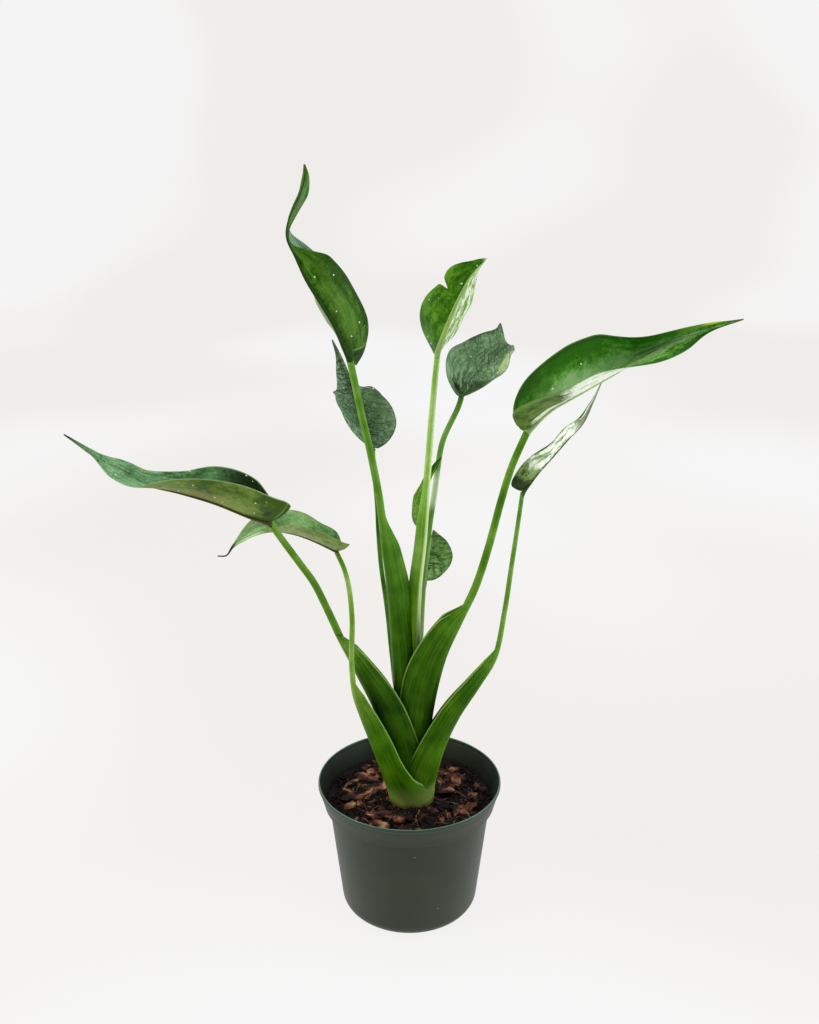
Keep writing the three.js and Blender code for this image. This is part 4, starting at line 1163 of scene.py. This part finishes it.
def stalk_tissue(leaf):
    """Stalk tissue: a pale smooth petiole over a darker sheath with pale edges and a yellow scaly foot."""
    look = leaf["look"]
    finish = Finish(leaf["name"] + "_stalk_tissue")
    place, spread = finish.coordinates(), finish.coordinates("UV")
    around, length, _ = finish.parts(spread)
    inner = finish.attribute("under")
    height = finish.parts(place)[2]
    streak = finish.noise(finish.stretch(spread, (22, 4, 1)), 1, 4, 0.6)
    cloud = finish.noise(place, 38, 3)
    fine = finish.noise(finish.stretch(spread, (90, 14, 1)), 1, 2, 0.5)
    tone = streak * 0.32 + cloud * 0.43 + fine * 0.25
    mouth = leaf["sheath"]["top"] * Path(leaf["stalk"]).length / 400
    sheath = finish.ease(length, mouth * 1.05, mouth * 0.6)
    color = finish.blend(sheath, skin_tone(finish, look["petiole"], tone), skin_tone(finish, look["sheath"], tone))
    color = finish.blend(inner * sheath * 0.85, color, rgb(*look.get("inner", INNER_COLOR)))
    edge = around * 2 - 1
    edge = finish.ease(edge.math("ABSOLUTE", edge), 0.96, 0.99) * finish.ease(length, mouth * 0.97, mouth * 0.85)
    color = finish.blend(edge * 0.7, color, rgb(*EDGE_COLOR))
    # painted highlight: a pale line down one side of the stalk
    if "highlight_stripe" in look:
        start, end = look["highlight_stripe"]
        highlight_stripe = finish.ease(around, start, start + 0.06) * finish.ease(around, end, end - 0.12)
        color = finish.blend(highlight_stripe * finish.ease(streak, 0.2, 0.45) * 0.85, color, rgb(*STRIPE_HIGHLIGHT_COLOR))
    if "band" in look:
        low, high, shade = look["band"]
        color = finish.blend(window(finish, height + cloud * 0.01, low, high, 0.006) * 0.85, color, rgb(*shade))
    if "node" in look:
        ring = 1 - finish.ease(height.math("ABSOLUTE", height - look["node"] + cloud * 0.003), 0.0004, 0.0013)
        color = finish.blend(ring * 0.7, color, rgb(*NODE_COLOR))
    foot = finish.ease(height + cloud * 0.012, *FOOT_SPAN) * (0.7 + fine * 0.5)
    color = finish.blend(foot * look.get("foot", FOOT_GLOW), color, rgb(*FOOT_COLOR))
    scar = finish.ease(height + streak * 0.008, *SCAR_SPAN)
    color = finish.blend(scar * 0.8, color, rgb(*SCAR_COLOR))
    return finish.set(
        Base_Color=color, Roughness=0.42 + streak * 0.14, Specular_IOR_Level=0.16, Specular_Tint=(0.7, 1.0, 0.3),
        Normal=finish.bump(fine, 0.0002, 0.3),
    )


def dew(made, density, material):
    """Water drops that stand on a blade: small flattened beads at random places on its skin."""
    rule = Rule("dew", {"Drops in a square metre": "Float", "Least size": "Float", "Largest size": "Float"})
    value = rule.value
    spots = {"Mesh": value["Geometry"], "Density": value["Drops in a square metre"], "Seed": value["Seed"]}
    points = rule.node("GeometryNodeDistributePointsOnFaces", None, spots)
    lie = Wire(rule, points.socket.node.outputs["Rotation"])
    bead = rule.node("GeometryNodeMeshIcoSphere", None, {"Radius": 0.5, "Subdivisions": 2})
    size = rule.drawn("FLOAT", value["Least size"], value["Largest size"], 1)
    flat = rule.node("ShaderNodeCombineXYZ", None, {0: size, 1: size, 2: size * 0.55})
    beads = rule.node("GeometryNodeInstanceOnPoints", None, {
        "Points": points, "Instance": bead, "Rotation": lie, "Scale": flat,
    })
    sizes = {"Drops in a square metre": density, "Least size": 0.0007, "Largest size": 0.0017, "Seed": 4}
    return rule.laid_on(made, rule.marked(beads, "INSTANCE", "dew", 1.0), sizes, material)


# Each leaf's look. A patch is a half (-1 left, 1 right), its limits across and along the vein rows, its
# colour and amount, and how its border frays and softens, its flecks and its side. Some patches are painted
# highlight or painted shade, marked where they stand.
LOOKS = {
    "leaf_a": {
        "top": [(66, 104, 70), (90, 128, 92), (120, 154, 124)],
        "under": [(22, 56, 0), (50, 98, 4), (92, 142, 44)], "rib": (24, 60, 8), "rib_size": 0.55,
        "rib_line": 0.9, "margin": (48, 84, 24), "tip": (60, 84, 40), "tip_from": 0.97,
        "petiole": [(66, 120, 18), (100, 154, 44), (140, 184, 90)],
        "sheath": [(36, 82, 0), (56, 104, 4), (80, 128, 20)], "cup": 0.9, "crease_highlight_at": 0.1, "dew": 1500,
        "blister": (14, 9, 1),
        "patches": [
            (1, 0.03, 0.4, 0.15, 0.5, (170, 196, 150), 0.55, {"on": "under"}),
            (-1, 0.15, 0.62, 0.14, 0.42, (112, 156, 66), 0.3, {"on": "under", "soft": 0.12}),
            (-1, 0.4, 1.2, 0.42, 0.72, (34, 74, 2), 0.5, {"on": "under", "soft": 0.1}),
            (-1, 0.0, 1.2, 0.74, 0.95, (120, 148, 106), 0.6, {"on": "under", "fleck": (0.42, 0.56)}),
            # painted shadow in the crease at the blade's base
            (-1, 0.3, 0.8, 0.045, 0.08, (10, 30, 4), 0.8, {"on": "under", "soft": 0.03, "ragged": 0}),
        ],
    },
    "leaf_b": {
        "top": [(60, 120, 36), (80, 150, 50), (120, 180, 90)],
        "under": [(30, 80, 0), (56, 114, 0), (98, 156, 30)], "rib": (190, 222, 140), "rib_size": 0.95,
        "margin": (64, 116, 24), "tip": (205, 222, 170), "tip_from": 0.97,
        "petiole": [(116, 172, 50), (146, 200, 84), (186, 224, 132)],
        # the stalk's pale side line is a painted highlight
        "sheath": [(72, 122, 12), (98, 150, 26), (130, 178, 52)], "highlight_stripe": (0.1, 0.52), "dew": 5000,
        "blister": (12, 9, 1), "streak": (11, 7, 1),
        "patches": [
            # painted highlight: the right half's underside whitened in pale flecks
            (-1, 0.05, 1.2, 0.1, 0.97, (176, 214, 138), 0.5, {"on": "under"}),
            (-1, 0.05, 1.2, 0.1, 0.97, (240, 248, 222), 0.95, {"on": "under", "fleck": (0.47, 0.56)}),
            (-1, 0.1, 0.95, 0.12, 0.95, (58, 108, 14), 0.8, {"on": "under", "fleck": (0.43, 0.36)}),
        ],
    },
    "leaf_c": {
        "top": [(80, 112, 76), (114, 148, 108), (158, 186, 148)],
        "under": [(60, 100, 40), (84, 128, 60), (120, 156, 90)], "rib": (92, 126, 90), "rib_size": 0.6,
        "rib_line": 0.4, "margin": (46, 72, 38), "tip": (60, 90, 50), "tip_from": 0.99,
        "petiole": [(60, 114, 20), (92, 144, 50), (130, 172, 90)],
        "sheath": [(80, 124, 54), (112, 152, 84), (150, 184, 120)], "band": (0.35, 0.378, (196, 216, 176)),
        "inner": (128, 158, 108), "blister": (22, 10, 1), "pucker": 1.0,
        "wrinkle": ((170, 50, 60), (40, 72, 38)),
        "patches": [
            (1, 0.1, 0.85, 0.07, 0.28, (26, 56, 10), 0.85, {"on": "top"}),
            (1, 0.62, 1.2, 0.36, 0.66, (186, 210, 146), 0.75, {"on": "top"}),
            (1, 0.2, 0.3, 0.385, 0.43, (140, 168, 66), 0.5, {"on": "top", "soft": 0.04}),
            (-1, 0.9, 1.2, 0.45, 0.85, (36, 66, 22), 0.7, {"on": "top"}),
            # painted shade in the hollow at the blade's base
            (-1, 0.28, 0.62, 0.08, 0.14, (8, 22, 6), 1, {"on": "top", "soft": 0.03, "ragged": 0}),
        ],
    },
    "leaf_d": {
        "top": [(84, 116, 82), (118, 150, 116), (152, 180, 148)],
        "under": [(50, 90, 36), (74, 114, 56), (104, 140, 80)], "rib": (70, 104, 62), "rib_size": 0.6,
        "margin": (40, 66, 34), "tip": (56, 80, 46), "tip_from": 0.99,
        "petiole": [(44, 92, 10), (70, 120, 28), (104, 150, 60)],
        "sheath": [(44, 92, 14), (64, 112, 28), (90, 136, 50)], "blister": (12, 20, 1), "pucker": 0.9,
        "wrinkle": ((60, 60, 210), (38, 68, 32)),
    },
    "leaf_e": {
        "top": [(50, 104, 26), (84, 140, 50), (120, 170, 84)],
        "under": [(26, 74, 0), (72, 122, 6), (122, 166, 46)], "rib": (110, 150, 60), "rib_size": 0.6,
        "margin": (44, 84, 20), "tip": (40, 84, 10), "tip_from": 0.99,
        "petiole": [(50, 106, 12), (78, 132, 30), (110, 160, 60)],
        "sheath": [(60, 118, 24), (78, 134, 36), (100, 152, 54)], "blister": (12, 28, 1), "pucker": 0.7,
        "patches": [
            (-1, 0, 1.2, 0.74, 1.2, (34, 84, 4), 0.7, {"soft": 0.08}),
            (1, 0, 1.2, 0.74, 1.2, (34, 84, 4), 0.7, {"soft": 0.08}),
        ],
    },
    "leaf_f": {
        "top": [(62, 106, 38), (108, 154, 82), (148, 184, 122)],
        "under": [(50, 92, 34), (76, 120, 54), (106, 148, 80)], "rib": (104, 140, 76), "rib_size": 0.6,
        "margin": (38, 60, 28), "tip": (96, 84, 50), "tip_from": 0.99,
        "petiole": [(50, 100, 16), (78, 128, 36), (110, 156, 66)],
        "sheath": [(80, 124, 50), (108, 148, 78), (140, 176, 108)], "inner": (128, 158, 108),
        "blister": (5, 26, 1), "pucker": 1.0, "wrinkle": ((36, 36, 230), (30, 62, 18)),
    },
    "leaf_g": {
        "top": [(22, 84, 0), (78, 146, 44), (142, 184, 122)],
        "under": [(40, 72, 6), (66, 98, 22), (100, 132, 54)], "rib": (170, 196, 140), "rib_size": 0.5,
        "rib_line": 0.7, "margin": (104, 150, 70), "tip": (92, 72, 44), "tip_from": 0.965,
        "petiole": [(58, 110, 8), (86, 138, 28), (122, 168, 66)],
        "sheath": [(36, 80, 0), (56, 102, 2), (82, 126, 22)], "sheen": 0.9, "streak": (9, 13, 1),
        "patches": [
            # painted sheen on the far half's top
            (-1, 0.0, 0.42, 0.2, 0.8, (122, 162, 112), 0.55, {"on": "top", "soft": 0.12}),
            (-1, 0.5, 0.94, 0.22, 0.85, (46, 122, 14), 0.4, {"on": "top", "soft": 0.1}),
            (-1, 0.0, 1.2, -0.1, 0.26, (26, 76, 8), 0.5, {"on": "top", "soft": 0.06}),
            (-1, 0.93, 1.2, 0.15, 0.7, (16, 70, 0), 0.7, {"on": "top"}),
            # painted shade along a crease towards the tip
            (-1, 0.19, 0.32, 0.62, 0.76, (22, 68, 10), 0.6, {"on": "top", "soft": 0.03, "ragged": 0.05}),
            (-1, 0.28, 0.42, 0.74, 0.88, (22, 68, 10), 0.6, {"on": "top", "soft": 0.03, "ragged": 0.05}),
            (-1, 0.6, 1.2, 0.78, 0.96, (104, 166, 30), 0.6, {"on": "top", "soft": 0.06}),
            (-1, 0.75, 1.2, 0.86, 0.91, (206, 210, 56), 0.9, {"on": "top", "soft": 0.03, "ragged": 0}),
            # painted highlight: the near half's underside whitened near the rib
            (1, 0.0, 1.2, 0.33, 0.66, (206, 224, 190), 0.85, {"on": "under", "ragged": 0.5}),
            (1, 0.0, 1.2, 0.34, 0.66, (244, 250, 236), 0.9, {"on": "under", "fleck": (0.4, 0.48), "ragged": 0.6}),
            (1, 0.0, 0.22, 0.1, 0.6, (226, 240, 206), 0.9, {"on": "under", "ragged": 0.4}),
            (1, 0.9, 1.2, 0.1, 0.36, (120, 160, 84), 0.6, {"on": "under"}),
        ],
    },
    "leaf_h": {
        "top": [(60, 112, 40), (90, 140, 60), (126, 168, 96)],
        "under": [(32, 62, 10), (76, 108, 42), (130, 158, 94)], "rib": (58, 86, 36), "rib_size": 0.5,
        "margin": (150, 168, 118), "tip": (80, 92, 50), "tip_from": 0.97,
        "petiole": [(66, 120, 18), (100, 150, 46), (140, 180, 86)],
        "sheath": [(36, 80, 0), (60, 106, 4), (86, 130, 24)], "foot": 0.95, "streak": (5, 7, 1),
        "patches": [
            # painted highlight: the underside whitened in pale flecks
            (1, 0.0, 1.2, 0.28, 1.2, (178, 204, 154), 0.6, {"on": "under", "ragged": 0.5, "soft": 0.08}),
            (1, 0.0, 1.2, 0.26, 1.2, (246, 252, 240), 1, {"on": "under", "fleck": (0.45, 0.51), "ragged": 0.6}),
            (1, 0.0, 1.2, 0.3, 0.97, (78, 122, 42), 0.85, {"on": "under", "fleck": (0.41, 0.37)}),
            (1, 0.0, 1.2, -0.1, 0.15, (14, 30, 8), 0.9, {"on": "under", "ragged": 0.3}),
            (1, 0.0, 0.85, 0.66, 1.2, (70, 94, 38), 0.8, {"on": "under", "ragged": 0.4}),
        ],
    },
    "leaf_i": {
        "top": [(56, 92, 52), (100, 146, 98), (138, 180, 140)],
        "under": [(56, 86, 10), (90, 122, 34), (124, 148, 66)], "rib": (72, 62, 38), "rib_size": 0.45,
        "rib_line": 0.9, "margin": (170, 196, 140), "tip": (36, 60, 24), "tip_from": 0.95,
        "petiole": [(60, 112, 10), (90, 140, 34), (130, 170, 70)],
        "sheath": [(16, 52, 0), (38, 80, 0), (60, 104, 8)], "painted_base_shade": 0.1, "crease_highlight_at": 0.05, "node": 0.262,
        "dew": 1400,
        "patches": [
            # painted shade on the top near the base
            (1, 0.6, 1.2, 0.06, 0.34, (12, 28, 8), 0.9, {"on": "top", "soft": 0.08}),
            (1, 0.82, 1.0, 0.63, 0.69, (170, 180, 80), 0.7, {"on": "top", "soft": 0.03}),
            (-1, 0.04, 0.45, 0.3, 0.85, (146, 140, 84), 0.5, {"on": "under", "soft": 0.08}),
            # painted shade in the opening of the fold at the base
            (-1, 0.3, 0.52, 0.105, 0.14, (18, 30, 10), 0.9, {"on": "under", "soft": 0.02, "ragged": 0}),
        ],
    },
    "leaf_j": {
        "top": [(116, 156, 106), (154, 194, 140), (188, 220, 174)],
        "under": [(96, 124, 50), (132, 156, 84), (166, 184, 118)], "rib": (70, 48, 30), "rib_size": 0.5,
        "rib_line": 0.9, "margin": (150, 164, 110), "tip": (38, 22, 18), "tip_from": 0.84,
        "petiole": [(84, 134, 24), (120, 164, 54), (160, 194, 104)],
        "sheath": [(34, 82, 0), (60, 108, 0), (86, 132, 14)], "foot": 0.55,
        "patches": [
            (1, 0.3, 1.2, 0.5, 0.8, (100, 122, 86), 0.7, {"on": "top", "soft": 0.1}),
            (-1, 0.04, 0.5, 0.25, 0.8, (164, 150, 104), 0.4, {"on": "under", "soft": 0.1}),
        ],
    },
}
SLOTS = {"leaf_b": ("young_leaf", "young_stalk"), "leaf_c": ("back_leaf", "stalk"),
    "leaf_d": ("back_leaf", "stalk"), "leaf_f": ("back_leaf", "stalk")}
DEW_DENSITY = 500


for leaf in LEAVES:
    leaf["look"] = LOOKS[leaf["name"]]
    tissue = leaf_tissue(leaf)
    sheet = blade(leaf, tissue)
    drops = dew(sheet, leaf["look"].get("dew", DEW_DENSITY), tissue)
    whole = all_joined([sheet, midrib(leaf, tissue), drops])
    standing = stalk(leaf, stalk_tissue(leaf))
    slots = SLOTS.get(leaf["name"], ("leaf", "stalk"))
    for made, node, slot in ((whole, "_blade", slots[0]), (standing, "_stalk", slots[1])):
        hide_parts(leaf["name"] + node)
        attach(made, "root")
